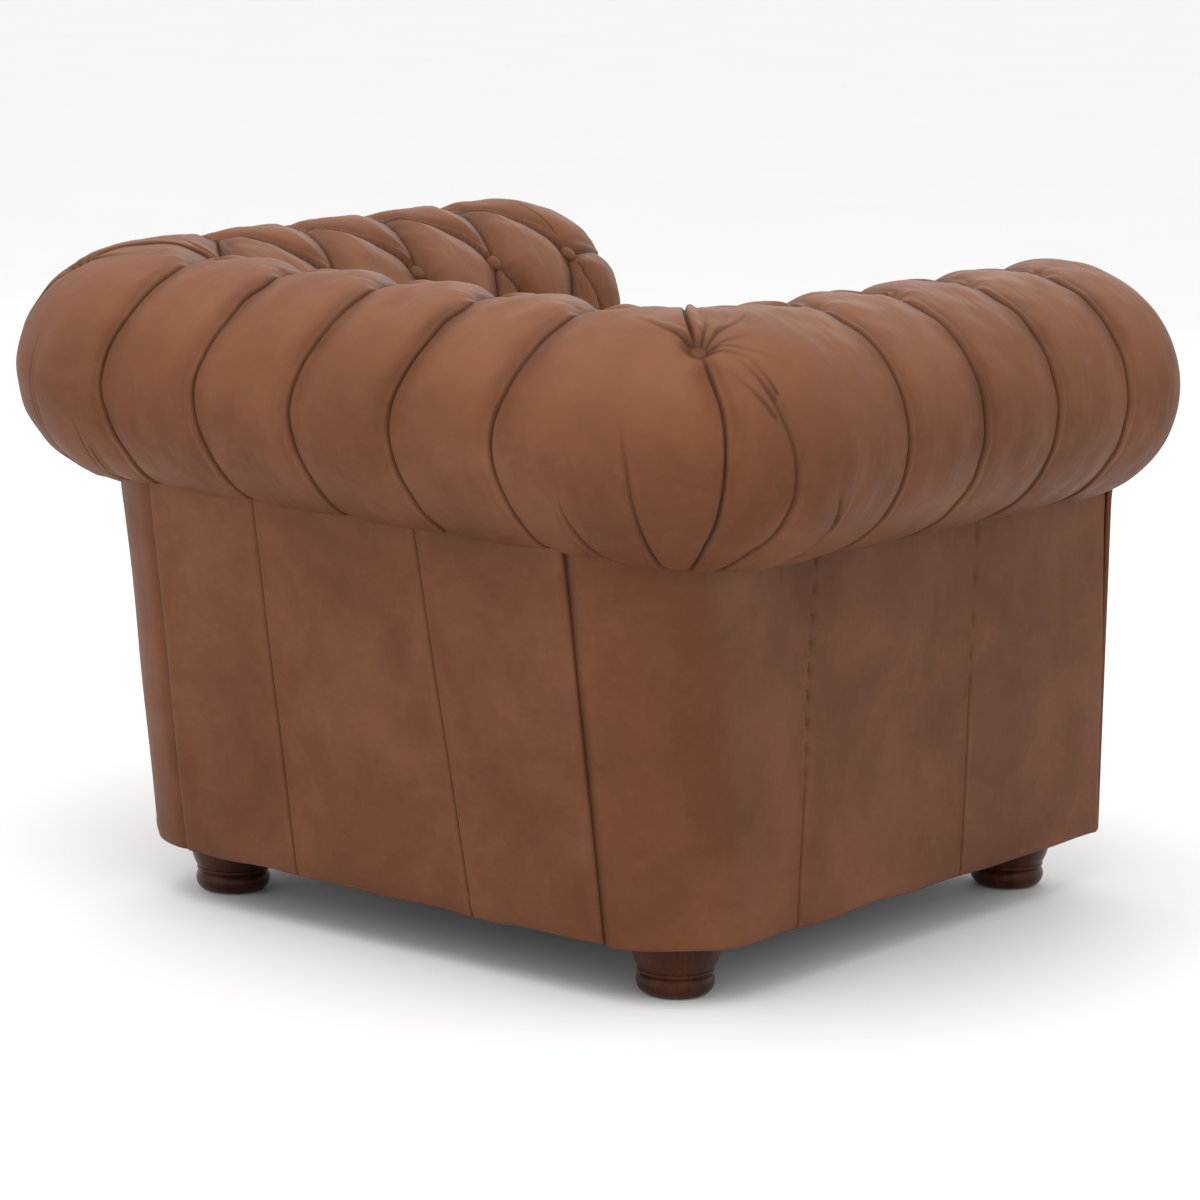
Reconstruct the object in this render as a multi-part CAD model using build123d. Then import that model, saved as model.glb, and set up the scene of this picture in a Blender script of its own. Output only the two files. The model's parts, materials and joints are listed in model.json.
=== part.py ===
from build123d import *
import math
import os

# Deep-buttoned leather armchair with rolled arms and a rolled back of one height.
# Millimetres. +Z up, the front faces -Y, the right arm is at +X.
# The origin is on the floor under the middle of the chair's box.

# The roll: an elliptic section that runs along the arms, round the rear corners and along the back
ROLL_W = 146.5          # half width of the roll
ROLL_H = 129.5          # half height of the roll
ROLL_Z = 577.5          # height of the roll's centre line
ARM_X = 380.5           # centre line of the arm rolls
BACK_Y = 297.5          # centre line of the back roll
CORNER_R = 63.0         # radius of the centre line at the rear corners
CORNER_X = ARM_X - CORNER_R
CORNER_Y = BACK_Y - CORNER_R

# Outside walls
BASE_Z = 63.0           # hem of the outside panels
ARM_WALL_TOP = 446.0
BACK_WALL_TOP = 461.0
WALL_X_BASE = 389.5
WALL_X_TOP = 382.0
WALL_Y_BASE = 305.0
BACK_RAKE = 0.163       # run of the back wall over its rise
WALL_CORNER_R = 110.0
PANEL_T = 3.0
PANEL_X_BASE = 286.0    # half width of the outside back panel
PANEL_X_TOP = 279.0

# Arm fronts
DOME_Y = -317.0         # where the roll starts to close
DOME_DEPTH = 127.0
FRONT_Y = -438.0        # plane of the arm fronts
FACING_T = 4.0
FACING_R = 44.0
PIPING_W = 6.0
FACING_IN_X = 292.0
FACING_OUT_X = 380.0

# Upholstery
LEATHER_T = 2.0
DECK_Z = 292.0          # underside of the inside pads
ARM_BASE_U = -112.0     # inside surface at the deck, from the roll's centre line
BACK_BASE_U = -165.0
PAD_TOP_Z = 520.0
WEB_U = -35.5           # outer face of the inside arm pads

# Buttons
BUTTON_R = 10.0
BUTTON_H = 5.5
POCKET_R = 12.0
POCKET_DEPTH = 16.0
CREST_ANGLE = 8.0       # first row, from the top of the roll towards the outside
CORNER_ANGLE = 34.0     # the single button on each corner
INNER_ANGLE = -49.0     # second row, towards the seat
LOW_ROW_Z = 497.0       # third row, on the inside pads
BUTTON_PITCH = 131.0
ARM_ROW_Y = 143.0       # rearmost button of an arm's first row
ARM_BUTTONS = 4
BACK_BUTTONS = 5

# Timber
FRAME_Z = 66.0
RAIL_T = 26.0
RAIL_TOP = 256.0
POST_IN_X = 350.0
POST_OUT_X = 376.0
POST_W = 60.0
TOP_RAIL_Z = 560.0
TOP_RAIL_T = 22.0
TOP_RAIL_U = 60.0
BACK_POST_U = 84.0
BACK_POST_Y = 278.5     # inner face of the back posts at FRAME_Z
BACK_POST_T = 22.0
FRONT_RAIL_Y = -432.0
REAR_RAIL_Y = 250.0
FRONT_POST_Y = -417.0
REAR_POST_Y = 174.0
STAY_Z = 300.0
STAY_H = 40.0
BOARD_Y = -434.0
BOARD_T = 16.0
GAP = 0.5

# Seat
SPRING_R = 1.9
SPRING_Z = RAIL_TOP + SPRING_R + 0.1
SPRING_XS = (-220.0, -110.0, 0.0, 110.0, 220.0)
SPRING_RUNGS = 26
SPRING_HALF = 24.0
DECK_X = 342.0
CUSHION_X = 240.0
CUSHION_FRONT = -430.0
CUSHION_REAR = 118.0
CUSHION_Z = 294.5
CUSHION_TOP = 442.0
CUSHION_EDGE = 12.0
WELT_R = 4.0
ZIP_HALF = 200.0
ZIP_Z = 366.0

# Feet
FOOT_X = 305.5
FOOT_REAR_Y = 213.0
FOOT_FRONT_Y = -384.5
FOOT_R = 46.0
BOLT_R = 4.0
GLIDE_R = 14.0
GLIDE_T = 2.0


def save(name, shape):
    export_step(shape, f"parts/{name}.step")


def save_pair(name, shape):
    """The right-hand piece and its mirror image on the left."""
    save(f"{name}_right", shape)
    save(f"{name}_left", mirror(shape, about=Plane.YZ))


def save_both(name, shape):
    """The right-hand piece and its mirror image, in one node."""
    save(name, Compound(children=[shape, mirror(shape, about=Plane.YZ)]))


def span(x0, x1, y0, y1, z0, z1):
    """A box from its limits."""
    box = Box(x1 - x0, y1 - y0, z1 - z0)
    return Pos((x0 + x1) / 2, (y0 + y1) / 2, (z0 + z1) / 2) * box


def arm_plane(y):
    """Local x is u, outwards from the arm roll's centre line; local y is height."""
    return Plane(origin=(ARM_X, y, 0), x_dir=(1, 0, 0), z_dir=(0, -1, 0))


def back_plane(x):
    return Plane(origin=(x, BACK_Y, 0), x_dir=(0, 1, 0), z_dir=(1, 0, 0))


def run_arm(face, y_rear=CORNER_Y, y_front=DOME_Y):
    return extrude(arm_plane(y_rear) * face, amount=y_rear - y_front)


def run_back(face, half=CORNER_X):
    return extrude(back_plane(-half) * face, amount=2 * half)


def run_corner(face):
    """Turn a section through the right rear corner."""
    plane = Plane(origin=(CORNER_X, CORNER_Y, 0), x_dir=(1, 0, 0), z_dir=(0, -1, 0))
    return revolve(plane * (Pos(CORNER_R, 0) * face), Axis((CORNER_X, CORNER_Y, 0), (0, 0, 1)), 90)


def mitre_block(side, behind):
    """Half space beyond the diagonal on which an arm and the back meet."""
    size = 1600.0
    shift = size / 2 if behind else -size / 2
    block = Location((CORNER_X, CORNER_Y, 0), (0, 0, 45)) * (Pos(0, shift, 0) * Box(size, size, size))
    return block if side > 0 else mirror(block, about=Plane.YZ)


# Sections, in u (outwards from the roll's centre line) and z

def ellipse(inset):
    return Pos(0, ROLL_Z) * Ellipse(ROLL_W - inset, ROLL_H - inset)


def tangent_angle(inset, base_u):
    """Angle round the roll where a line up from the deck touches its inner side."""
    a = ROLL_W - inset
    b = ROLL_H - inset
    across = -base_u * b
    up = (ROLL_Z - DECK_Z) * a
    return 180.0 + math.degrees(math.atan2(up, across) - math.acos(a * b / math.hypot(across, up)))


def ellipse_point(inset, angle):
    rad = math.radians(angle)
    return ((ROLL_W - inset) * math.cos(rad), ROLL_Z + (ROLL_H - inset) * math.sin(rad))


def inner_line_u(base_u, z, inset=0.0):
    """The inside surface between the deck and the roll."""
    u1, z1 = ellipse_point(inset, tangent_angle(inset, base_u + inset))
    return base_u + inset + (u1 - base_u - inset) * (z - DECK_Z) / (z1 - DECK_Z)


def cover_face(start_angle, base_u):
    """Leather from under the roll's outer side, over the top and down to the deck."""
    end_out = tangent_angle(0, base_u)
    end_in = tangent_angle(LEATHER_T, base_u + LEATHER_T)
    outer = EllipticalCenterArc((0, ROLL_Z), ROLL_W, ROLL_H, start_angle, arc_size=end_out - start_angle)
    inner = EllipticalCenterArc(
        (0, ROLL_Z), ROLL_W - LEATHER_T, ROLL_H - LEATHER_T, start_angle, arc_size=end_in - start_angle
    )
    down = Polyline(outer @ 1, (base_u, DECK_Z), (base_u + LEATHER_T, DECK_Z), inner @ 1)
    return make_face([outer, down, inner, Line(inner @ 0, outer @ 0)])


def corner_cover_face(start_angle):
    """The outer half of the roll's leather, up to the corner's turning axis."""
    def stop(inset):
        return math.degrees(math.acos(-CORNER_R / (ROLL_W - inset)))

    outer = EllipticalCenterArc((0, ROLL_Z), ROLL_W, ROLL_H, start_angle, arc_size=stop(0) - start_angle)
    inner = EllipticalCenterArc(
        (0, ROLL_Z), ROLL_W - LEATHER_T, ROLL_H - LEATHER_T, start_angle, arc_size=stop(LEATHER_T) - start_angle
    )
    return make_face([outer, Line(outer @ 1, inner @ 1), inner, Line(inner @ 0, outer @ 0)])


def slot_face(u0, u1):
    """Room for the posts, from below, and for the top rail above them."""
    posts = Pos((u0 + u1) / 2, TOP_RAIL_Z / 2) * Rectangle(u1 - u0, TOP_RAIL_Z + GAP)
    rail_u1 = max(TOP_RAIL_U, u1)
    width = rail_u1 + TOP_RAIL_U + 2 * GAP
    rail = Pos((rail_u1 - TOP_RAIL_U) / 2, TOP_RAIL_Z + TOP_RAIL_T / 2)
    return posts + rail * Rectangle(width, TOP_RAIL_T + 2 * GAP)


ARM_SLOT = (WEB_U, POST_OUT_X - ARM_X + 1.0)
BACK_SLOT = (42.0, 86.0)


def roll_foam_face(slot):
    return ellipse(LEATHER_T) - slot_face(*slot)


def pad_face(base_u, rear_low, rear_high):
    """Inside pad between the leather and the webbing, under the roll."""
    corners = [
        (base_u + LEATHER_T, DECK_Z),
        (rear_low, DECK_Z),
        (rear_high, PAD_TOP_Z),
        (inner_line_u(base_u, PAD_TOP_Z, LEATHER_T), PAD_TOP_Z),
    ]
    return make_face(Polyline(*corners, close=True)) - ellipse(LEATHER_T)


# Buttons and their pockets

def roll_spot(angle):
    """A place on the roll, by its angle from the top, and the outward direction there."""
    rad = math.radians(angle)
    normal = (math.sin(rad) / ROLL_W, math.cos(rad) / ROLL_H)
    length = math.hypot(*normal)
    return (ROLL_W * math.sin(rad), ROLL_Z + ROLL_H * math.cos(rad)), (normal[0] / length, normal[1] / length)


def low_spot(base_u):
    return (inner_line_u(base_u, LOW_ROW_Z), LOW_ROW_Z), (-1.0, 0.0)


def button_planes(spots, base_u, along_arm):
    """spots: (row, place along the roll) for each button."""
    planes = []
    for row, place in spots:
        if row == "low":
            (u, z), (nu, nz) = low_spot(base_u)
        else:
            (u, z), (nu, nz) = roll_spot(CREST_ANGLE if row == "crest" else INNER_ANGLE)
        if along_arm:
            planes.append(Plane(origin=(ARM_X + u, place, z), z_dir=(nu, 0, nz)))
        else:
            planes.append(Plane(origin=(place, BACK_Y + u, z), z_dir=(0, nu, nz)))
    return planes


def arm_spots():
    rear_to_front = [ARM_ROW_Y - BUTTON_PITCH * i for i in range(ARM_BUTTONS)]
    between = [y - BUTTON_PITCH / 2 for y in rear_to_front]
    spots = [("crest", y) for y in rear_to_front]
    spots += [("inner", y) for y in between]
    return spots + [("low", y) for y in rear_to_front]


def back_spots():
    first = -BUTTON_PITCH * (BACK_BUTTONS - 1) / 2
    crest = [first + BUTTON_PITCH * i for i in range(BACK_BUTTONS)]
    spots = [("crest", x) for x in crest]
    spots += [("inner", x + BUTTON_PITCH / 2) for x in crest[:-1]]
    return spots + [("low", x) for x in crest[1:-1]]


def corner_button_plane():
    (u, z), (nu, nz) = roll_spot(CORNER_ANGLE)
    half = math.sqrt(0.5)
    reach = (CORNER_R + u) * half
    return Plane(origin=(CORNER_X + reach, CORNER_Y + reach, z), z_dir=(nu * half, nu * half, nz))


def pockets(planes):
    depth = POCKET_DEPTH + 4.0
    return [p * (Pos(0, 0, 4.0 - depth / 2) * Cylinder(POCKET_R, depth)) for p in planes]


def buttons(planes):
    button = Pos(0, 0, BUTTON_H / 2) * Cylinder(BUTTON_R, BUTTON_H)
    button = fillet(button.edges().group_by(Axis.Z)[-1], 3.0)
    return [p * (Pos(0, 0, GAP - POCKET_DEPTH) * button) for p in planes]


# Upholstery

def make_arm_upholstery():
    planes = button_planes(arm_spots(), ARM_BASE_U, True)
    holes = pockets(planes)
    cut = mitre_block(1, True)
    save_pair("arm_cover", run_arm(cover_face(-89.0, ARM_BASE_U)) - cut - holes)
    save_pair("arm_roll_pad", run_arm(roll_foam_face(ARM_SLOT)) - cut - holes)
    save_both("arm_inside_pads", run_arm(pad_face(ARM_BASE_U, WEB_U, WEB_U)) - cut - holes)
    save_pair("arm_buttons", Compound(children=buttons(planes)))


def make_back_upholstery():
    planes = button_planes(back_spots(), BACK_BASE_U, False)
    holes = pockets(planes)
    cuts = [mitre_block(1, False), mitre_block(-1, False)]
    save("back_cover", run_back(cover_face(-60.0, BACK_BASE_U)) - cuts - holes)
    save("back_roll_pad", run_back(roll_foam_face(BACK_SLOT)) - cuts - holes)
    save("back_inside_pad", run_back(pad_face(BACK_BASE_U, 10.0, 44.0)) - cuts - holes)
    save("back_buttons", Compound(children=buttons(planes)))


def make_corner_upholstery():
    plane = corner_button_plane()
    hole = pockets([plane])
    save_both("corner_covers", run_corner(corner_cover_face(-75.0)) - hole)
    outer_half = Pos(-CORNER_R + 200.0, ROLL_Z) * Rectangle(400.0, 400.0)
    save_both("corner_roll_pads", run_corner(ellipse(LEATHER_T) & outer_half) - hole)
    both = buttons([plane])
    save("corner_buttons", Compound(children=both + [mirror(both[0], about=Plane.YZ)]))


def dome(inset):
    """The closed front end of the right arm's roll, up to the front plane."""
    ball = scale(Sphere(1.0), by=(ROLL_W - inset, DOME_DEPTH - inset, ROLL_H - inset))
    ball = Pos(ARM_X, DOME_Y, ROLL_Z) * ball
    return ball & span(0, 2 * ARM_X, FRONT_Y + inset, DOME_Y, 0, 2 * ROLL_Z)


def pillar(inset):
    """The arm's front between the deck and the roll, inside the outside panel."""
    outline = [
        (WALL_X_BASE - PANEL_T - GAP - 5.0 - ARM_X, DECK_Z),
        (WALL_X_TOP - PANEL_T - GAP - ARM_X, ARM_WALL_TOP),
        (0.0, ROLL_Z),
        (-45.0 + inset, ROLL_Z - 16.0),
        (-105.0 + inset, ROLL_Z - 67.0),
        (inner_line_u(ARM_BASE_U, 430.0) + inset, 430.0),
        (ARM_BASE_U + inset, DECK_Z),
    ]
    return run_arm(make_face(Polyline(*outline, close=True)), DOME_Y, FRONT_Y + inset)


def board_face():
    """Scroll-shaped board behind the arm front's facing."""
    outline = [(-88.0, 262.0), (-5.5, 262.0), (-5.5, 545.0), (-20.0, 600.0), (-88.0, 440.0)]
    return make_face(Polyline(*outline, close=True)) + Pos(0, ROLL_Z) * Circle(36.0)


def make_arm_front():
    timber = [
        run_arm(offset(board_face(), GAP), BOARD_Y + BOARD_T + GAP, BOARD_Y - GAP),
        span(ARM_X + WEB_U, POST_OUT_X + 1, BOARD_Y + BOARD_T, DOME_Y, 0, TOP_RAIL_Z),
        span(
            ARM_X - TOP_RAIL_U - GAP, ARM_X + TOP_RAIL_U + GAP, BOARD_Y + BOARD_T, DOME_Y,
            TOP_RAIL_Z - GAP, TOP_RAIL_Z + TOP_RAIL_T + GAP,
        ),
    ]
    inner = dome(LEATHER_T) + pillar(LEATHER_T)
    outer = dome(0) + pillar(0)
    # the pocket of the foremost second-row button reaches into the front
    spots = button_planes(arm_spots()[ARM_BUTTONS:2 * ARM_BUTTONS], ARM_BASE_U, True)
    holes = [hole for hole in pockets(spots) if hole.bounding_box().min.Y < DOME_Y]
    save_both("arm_front_pads", inner - timber - holes)
    hollow = inner
    for hole in holes:
        hollow = hollow + hole
    apron = span(ARM_X + ARM_BASE_U, WALL_X_BASE - 4, FRONT_Y, FRONT_Y + LEATHER_T, BASE_Z, DECK_Z)
    save_pair("arm_front_cover", outer + apron - hollow)


def facing_face():
    outline = [
        (FACING_IN_X - ARM_X, BASE_Z + 8.0),
        (FACING_OUT_X - ARM_X, BASE_Z + 8.0),
        (FACING_OUT_X - ARM_X, 440.0),
        (30.0, 540.0),
        (-42.0, ROLL_Z - 4.0),
        (-78.0, 480.0),
        (FACING_IN_X - ARM_X, 400.0),
    ]
    return make_face(Polyline(*outline, close=True)) + Pos(0, ROLL_Z) * Circle(FACING_R)


def make_facing():
    face = facing_face()
    save_pair("arm_front_facing", run_arm(face, FRONT_Y, FRONT_Y - FACING_T))
    ring = offset(face, PIPING_W) - offset(face, 0.2)
    save_both("facing_piping", run_arm(ring, FRONT_Y, FRONT_Y - PIPING_W))


# Outside panels

def arm_panel_outline(z, wall_x, wall_y, panel_x):
    """Plan of the side panel with its rounded rear corner at one height."""
    r = WALL_CORNER_R
    rear_x = wall_x - r
    if panel_x > rear_x:
        edge = math.degrees(math.asin((panel_x - rear_x) / r))
    else:
        edge = 0.0
    centre = (rear_x, wall_y - r)
    outer = CenterArc(centre, r, 0, 90 - edge)
    inner = CenterArc(centre, r - PANEL_T, 0, 90 - edge)
    front = FRONT_Y + LEATHER_T + GAP
    edges = [
        Line((wall_x, front), outer @ 0),
        outer,
        Line(outer @ 1, inner @ 1),
        inner,
        Line(inner @ 0, (wall_x - PANEL_T, front)),
        Line((wall_x - PANEL_T, front), (wall_x, front)),
    ]
    return Pos(0, 0, z) * make_face(edges)


def wall_y_at(z):
    return WALL_Y_BASE + BACK_RAKE * (z - BASE_Z)


def make_panels():
    low = arm_panel_outline(BASE_Z, WALL_X_BASE, wall_y_at(BASE_Z), PANEL_X_BASE + 1.0)
    high = arm_panel_outline(ARM_WALL_TOP, WALL_X_TOP, wall_y_at(ARM_WALL_TOP), PANEL_X_TOP + 2.0)
    save_pair("outside_arm_panel", loft([low, high], ruled=True))

    def level(z, half):
        y1 = wall_y_at(z)
        return Pos(0, y1 - PANEL_T / 2, z) * Rectangle(2 * half, PANEL_T)

    ends = [level(BASE_Z, PANEL_X_BASE), level(BACK_WALL_TOP, PANEL_X_TOP)]
    save("outside_back_panel", loft(ends, ruled=True))


# Timber frame

def post_y(z):
    return BACK_POST_Y + BACK_RAKE * (z - FRAME_Z)


def raked_bar(x0, x1, z0, z1, depth=BACK_POST_T, shift=0.0):
    """A bar that leans with the back, in front of which the webbing lies."""
    corners = [
        (post_y(z0) + shift - BACK_Y, z0),
        (post_y(z0) + shift + depth - BACK_Y, z0),
        (post_y(z1) + shift + depth - BACK_Y, z1),
        (post_y(z1) + shift - BACK_Y, z1),
    ]
    return extrude(back_plane(x0) * make_face(Polyline(*corners, close=True)), amount=x1 - x0)


def screw(x, y, z, direction, length=44.0):
    return Plane(origin=(x, y, z), z_dir=direction) * (Pos(0, 0, length / 2) * Cylinder(2.4, length))


def frame_screws():
    """Two screws from each foot block into its rail and two into the side rail."""
    screws = []
    for side in (-1, 1):
        for x in (270.0, 330.0):
            screws.append(screw(side * x, -384.0, 96.0, (0, -1, 0)))
            screws.append(screw(side * x, 229.0, 96.0, (0, 1, 0)))
        for y in (-340.0, 170.5):
            screws.append(screw(side * 328.0, y, 108.0, (side, 0, 0)))
    return screws


def make_timber():
    screws = frame_screws()
    save("frame_screws", Compound(children=screws))
    side_end = POST_IN_X - 1.0
    front = span(-side_end, side_end, FRONT_RAIL_Y, FRONT_RAIL_Y + RAIL_T, FRAME_Z, RAIL_TOP)
    save("front_rail", front - screws)
    rear = span(-335.0, 335.0, REAR_RAIL_Y, REAR_RAIL_Y + RAIL_T, FRAME_Z, RAIL_TOP)
    save("rear_rail", rear - screws)
    rail_front = FRONT_POST_Y + POST_W + GAP
    rail_rear = REAR_POST_Y - GAP
    side = span(POST_IN_X, POST_OUT_X, rail_front, rail_rear, FRAME_Z, RAIL_TOP)
    save_both("side_rails", side - screws)
    for name, y in (("front_posts", FRONT_POST_Y), ("rear_posts", REAR_POST_Y)):
        save_both(name, span(POST_IN_X, POST_OUT_X, y, y + POST_W, FRAME_Z, TOP_RAIL_Z))
    save_both("arm_stay_rails", span(POST_IN_X, POST_OUT_X, rail_front, rail_rear, STAY_Z, STAY_Z + STAY_H))
    top_z1 = TOP_RAIL_Z + TOP_RAIL_T
    rail_cut = mitre_block(1, True)
    arm_top = span(
        ARM_X - TOP_RAIL_U, ARM_X + TOP_RAIL_U, BOARD_Y + BOARD_T + GAP, CORNER_Y, TOP_RAIL_Z, top_z1,
    )
    save_both("arm_top_rails", arm_top - rail_cut)
    back_top = span(-CORNER_X, CORNER_X, BACK_Y - TOP_RAIL_U, BACK_Y + BACK_POST_U, TOP_RAIL_Z, top_z1)
    save("back_top_rail", back_top - [mitre_block(1, False), mitre_block(-1, False)])
    posts = [raked_bar(215.0, 275.0, FRAME_Z, TOP_RAIL_Z), raked_bar(-275.0, -215.0, FRAME_Z, TOP_RAIL_Z)]
    save("back_posts", Compound(children=posts))
    save("back_stay_rail", raked_bar(-214.5, 214.5, STAY_Z, STAY_Z + STAY_H))
    save_both("arm_front_boards", run_arm(board_face(), BOARD_Y + BOARD_T, BOARD_Y))


# Webbing and springs

def make_webbing():
    places = (-150.0, -50.0, 50.0, 150.0)
    vertical = [raked_bar(x - 25, x + 25, 262.0, TOP_RAIL_Z - 4, 1.5, -1.8) for x in places]
    across = [raked_bar(-270.0, 270.0, z - 25, z + 25, 1.5, -3.6) for z in (340.0, 430.0, 520.0)]
    save("back_webbing", Compound(children=vertical + across))
    straps = []
    for y in (-270.0, -150.0, -30.0, 90.0):
        straps.append(span(POST_IN_X - 1.8, POST_IN_X - 0.3, y - 25, y + 25, 262.0, TOP_RAIL_Z - 4))
    for z in (370.0, 480.0):
        straps.append(span(POST_IN_X - 3.6, POST_IN_X - 2.1, FRONT_POST_Y + 4, CORNER_Y - 4, z - 25, z + 25))
    save_both("arm_webbing", Compound(children=straps))


def spring_path(x):
    """A flat zigzag with round bends, from the front rail to the rear rail."""
    y0 = FRONT_RAIL_Y + RAIL_T / 2
    pitch = (REAR_RAIL_Y + RAIL_T / 2 - y0) / (SPRING_RUNGS - 1)
    reach = SPRING_HALF - pitch / 2
    edges = []
    for i in range(SPRING_RUNGS):
        y = y0 + pitch * i
        way = 1 if i % 2 == 0 else -1
        edges.append(Line((x - way * reach, y, SPRING_Z), (x + way * reach, y, SPRING_Z)))
        if i < SPRING_RUNGS - 1:
            start = (x + way * reach, y, SPRING_Z)
            bend = (x + way * (reach + pitch / 2), y + pitch / 2, SPRING_Z)
            edges.append(ThreePointArc(start, bend, (x + way * reach, y + pitch, SPRING_Z)))
    return Wire(edges)


def make_springs():
    springs = []
    clips = []
    for x in SPRING_XS:
        path = spring_path(x)
        springs.append(sweep(Plane(origin=path @ 0, z_dir=path % 0) * Circle(SPRING_R), path=path))
        for y in (FRONT_RAIL_Y + RAIL_T / 2, REAR_RAIL_Y + RAIL_T / 2):
            block = Pos(x, y, SPRING_Z + 0.4) * Box(14.0, 10.0, 2 * SPRING_R + 0.8)
            clips.append(block - Pos(x, y, SPRING_Z) * (Rot(0, 90, 0) * Cylinder(SPRING_R + 0.1, 20.0)))
    save("seat_springs", Compound(children=springs))
    save("spring_clips", Compound(children=clips))
    wire = Rot(0, 90, 0) * Cylinder(1.2, 660.0)
    wires = [Pos(0, y, SPRING_Z + SPRING_R + 1.4) * wire for y in (-150.0, 30.0)]
    save("spring_tie_wires", Compound(children=wires))


def make_deck():
    rear = 240.0
    front = FRONT_RAIL_Y + RAIL_T + 14.0
    z0 = SPRING_Z + SPRING_R + 3.0
    save("seat_insulator", span(-DECK_X, DECK_X, front, rear, z0, z0 + 3.0))
    save("deck_pad", span(-DECK_X, DECK_X, front, rear, z0 + 3.1, z0 + 21.0))
    save("deck_cloth", span(-DECK_X, DECK_X, front, rear, z0 + 21.2, z0 + 22.4))
    edge = span(-266.0, 266.0, FRONT_RAIL_Y - 1.0, front - 1.0, RAIL_TOP + 7.0, 286.0)
    save("front_edge_pad", fillet(edge.edges().filter_by(Axis.X).group_by(Axis.Z)[-1], 9.0))
    apron = span(-266.0, 266.0, FRONT_Y + 1.0, FRONT_Y + 3.5, BASE_Z, 286.5)
    lip = span(-266.0, 266.0, FRONT_Y + 1.0, front - 1.0, 286.5, 289.0)
    save("front_apron", apron + lip)


# Loose seat cushion

def cushion_solid(inset):
    block = span(
        -CUSHION_X + inset, CUSHION_X - inset, CUSHION_FRONT + inset, CUSHION_REAR - inset,
        CUSHION_Z + inset, CUSHION_TOP - inset,
    )
    block = fillet(block.edges().filter_by(Axis.Z), 30.0 - inset)
    level = block.edges().group_by(Axis.Z)
    return fillet(level[0] + level[-1], CUSHION_EDGE - inset)


def welt(z):
    """A round cord laid in the hollow of the cushion's edge."""
    inset = CUSHION_EDGE - (CUSHION_EDGE + WELT_R + 0.3) * math.sqrt(0.5)
    width = 2 * (CUSHION_X - inset)
    depth = CUSHION_REAR - CUSHION_FRONT - 2 * inset
    centre = (0, (CUSHION_REAR + CUSHION_FRONT) / 2, z)
    ring = (Pos(*centre) * RectangleRounded(width, depth, 30.0 - inset)).wire()
    return sweep(Plane(origin=ring @ 0, z_dir=ring % 0) * Circle(WELT_R), path=ring)


def make_cushion():
    shell = cushion_solid(0) - cushion_solid(LEATHER_T)
    opening = span(-ZIP_HALF, ZIP_HALF, CUSHION_REAR - 5, CUSHION_REAR + 1, ZIP_Z - 6, ZIP_Z + 6)
    save("cushion_cover", shell - opening)
    save("cushion_core", cushion_solid(LEATHER_T + 0.3))
    drop = CUSHION_EDGE - (CUSHION_EDGE + WELT_R + 0.3) * math.sqrt(0.5)
    save("cushion_welts", Compound(children=[welt(CUSHION_TOP - drop), welt(CUSHION_Z + drop)]))
    half = ZIP_HALF - 0.3
    tape = span(-half, half, CUSHION_REAR - 1.7, CUSHION_REAR - 0.5, ZIP_Z - 5.7, ZIP_Z + 5.7)
    teeth = span(-half, half, CUSHION_REAR - 0.5, CUSHION_REAR + 0.6, ZIP_Z - 2.0, ZIP_Z + 2.0)
    save("cushion_zip", tape + teeth)
    body = span(-195.0, -185.0, CUSHION_REAR + 0.9, CUSHION_REAR + 3.4, ZIP_Z - 4, ZIP_Z + 4)
    tab = span(-193.0, -187.0, CUSHION_REAR + 3.4, CUSHION_REAR + 4.4, ZIP_Z - 22, ZIP_Z + 2)
    save("zip_slider", body + tab)


# Feet and underside

def foot_places():
    places = {}
    for side_name, side in (("left", -1), ("right", 1)):
        places[f"front_{side_name}"] = (side * FOOT_X, FOOT_FRONT_Y)
        places[f"rear_{side_name}"] = (side * FOOT_X, FOOT_REAR_Y)
    return places


def foot_solid():
    """Turned bun: a bowl on a thin bead and a round base ring."""
    bowl = Spline((38.5, 27.0), (43.6, 38.0), (FOOT_R, 54.0), (44.5, FRAME_Z))
    bead = ThreePointArc((37.0, 22.0), (39.3, 24.5), (38.5, 27.0))
    base = ThreePointArc((34.0, GLIDE_T), (40.0, 12.0), (37.0, 22.0))
    bore = Line((BOLT_R, FRAME_Z), (BOLT_R, 30.0))
    outline = [
        base, bead, bowl, Line((44.5, FRAME_Z), (BOLT_R, FRAME_Z)), bore,
        Line((BOLT_R, 30.0), (0, 30.0)), Line((0, 30.0), (0, GLIDE_T)), Line((0, GLIDE_T), (34.0, GLIDE_T)),
    ]
    return revolve(Plane.XZ * make_face(outline), Axis.Z)


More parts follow.
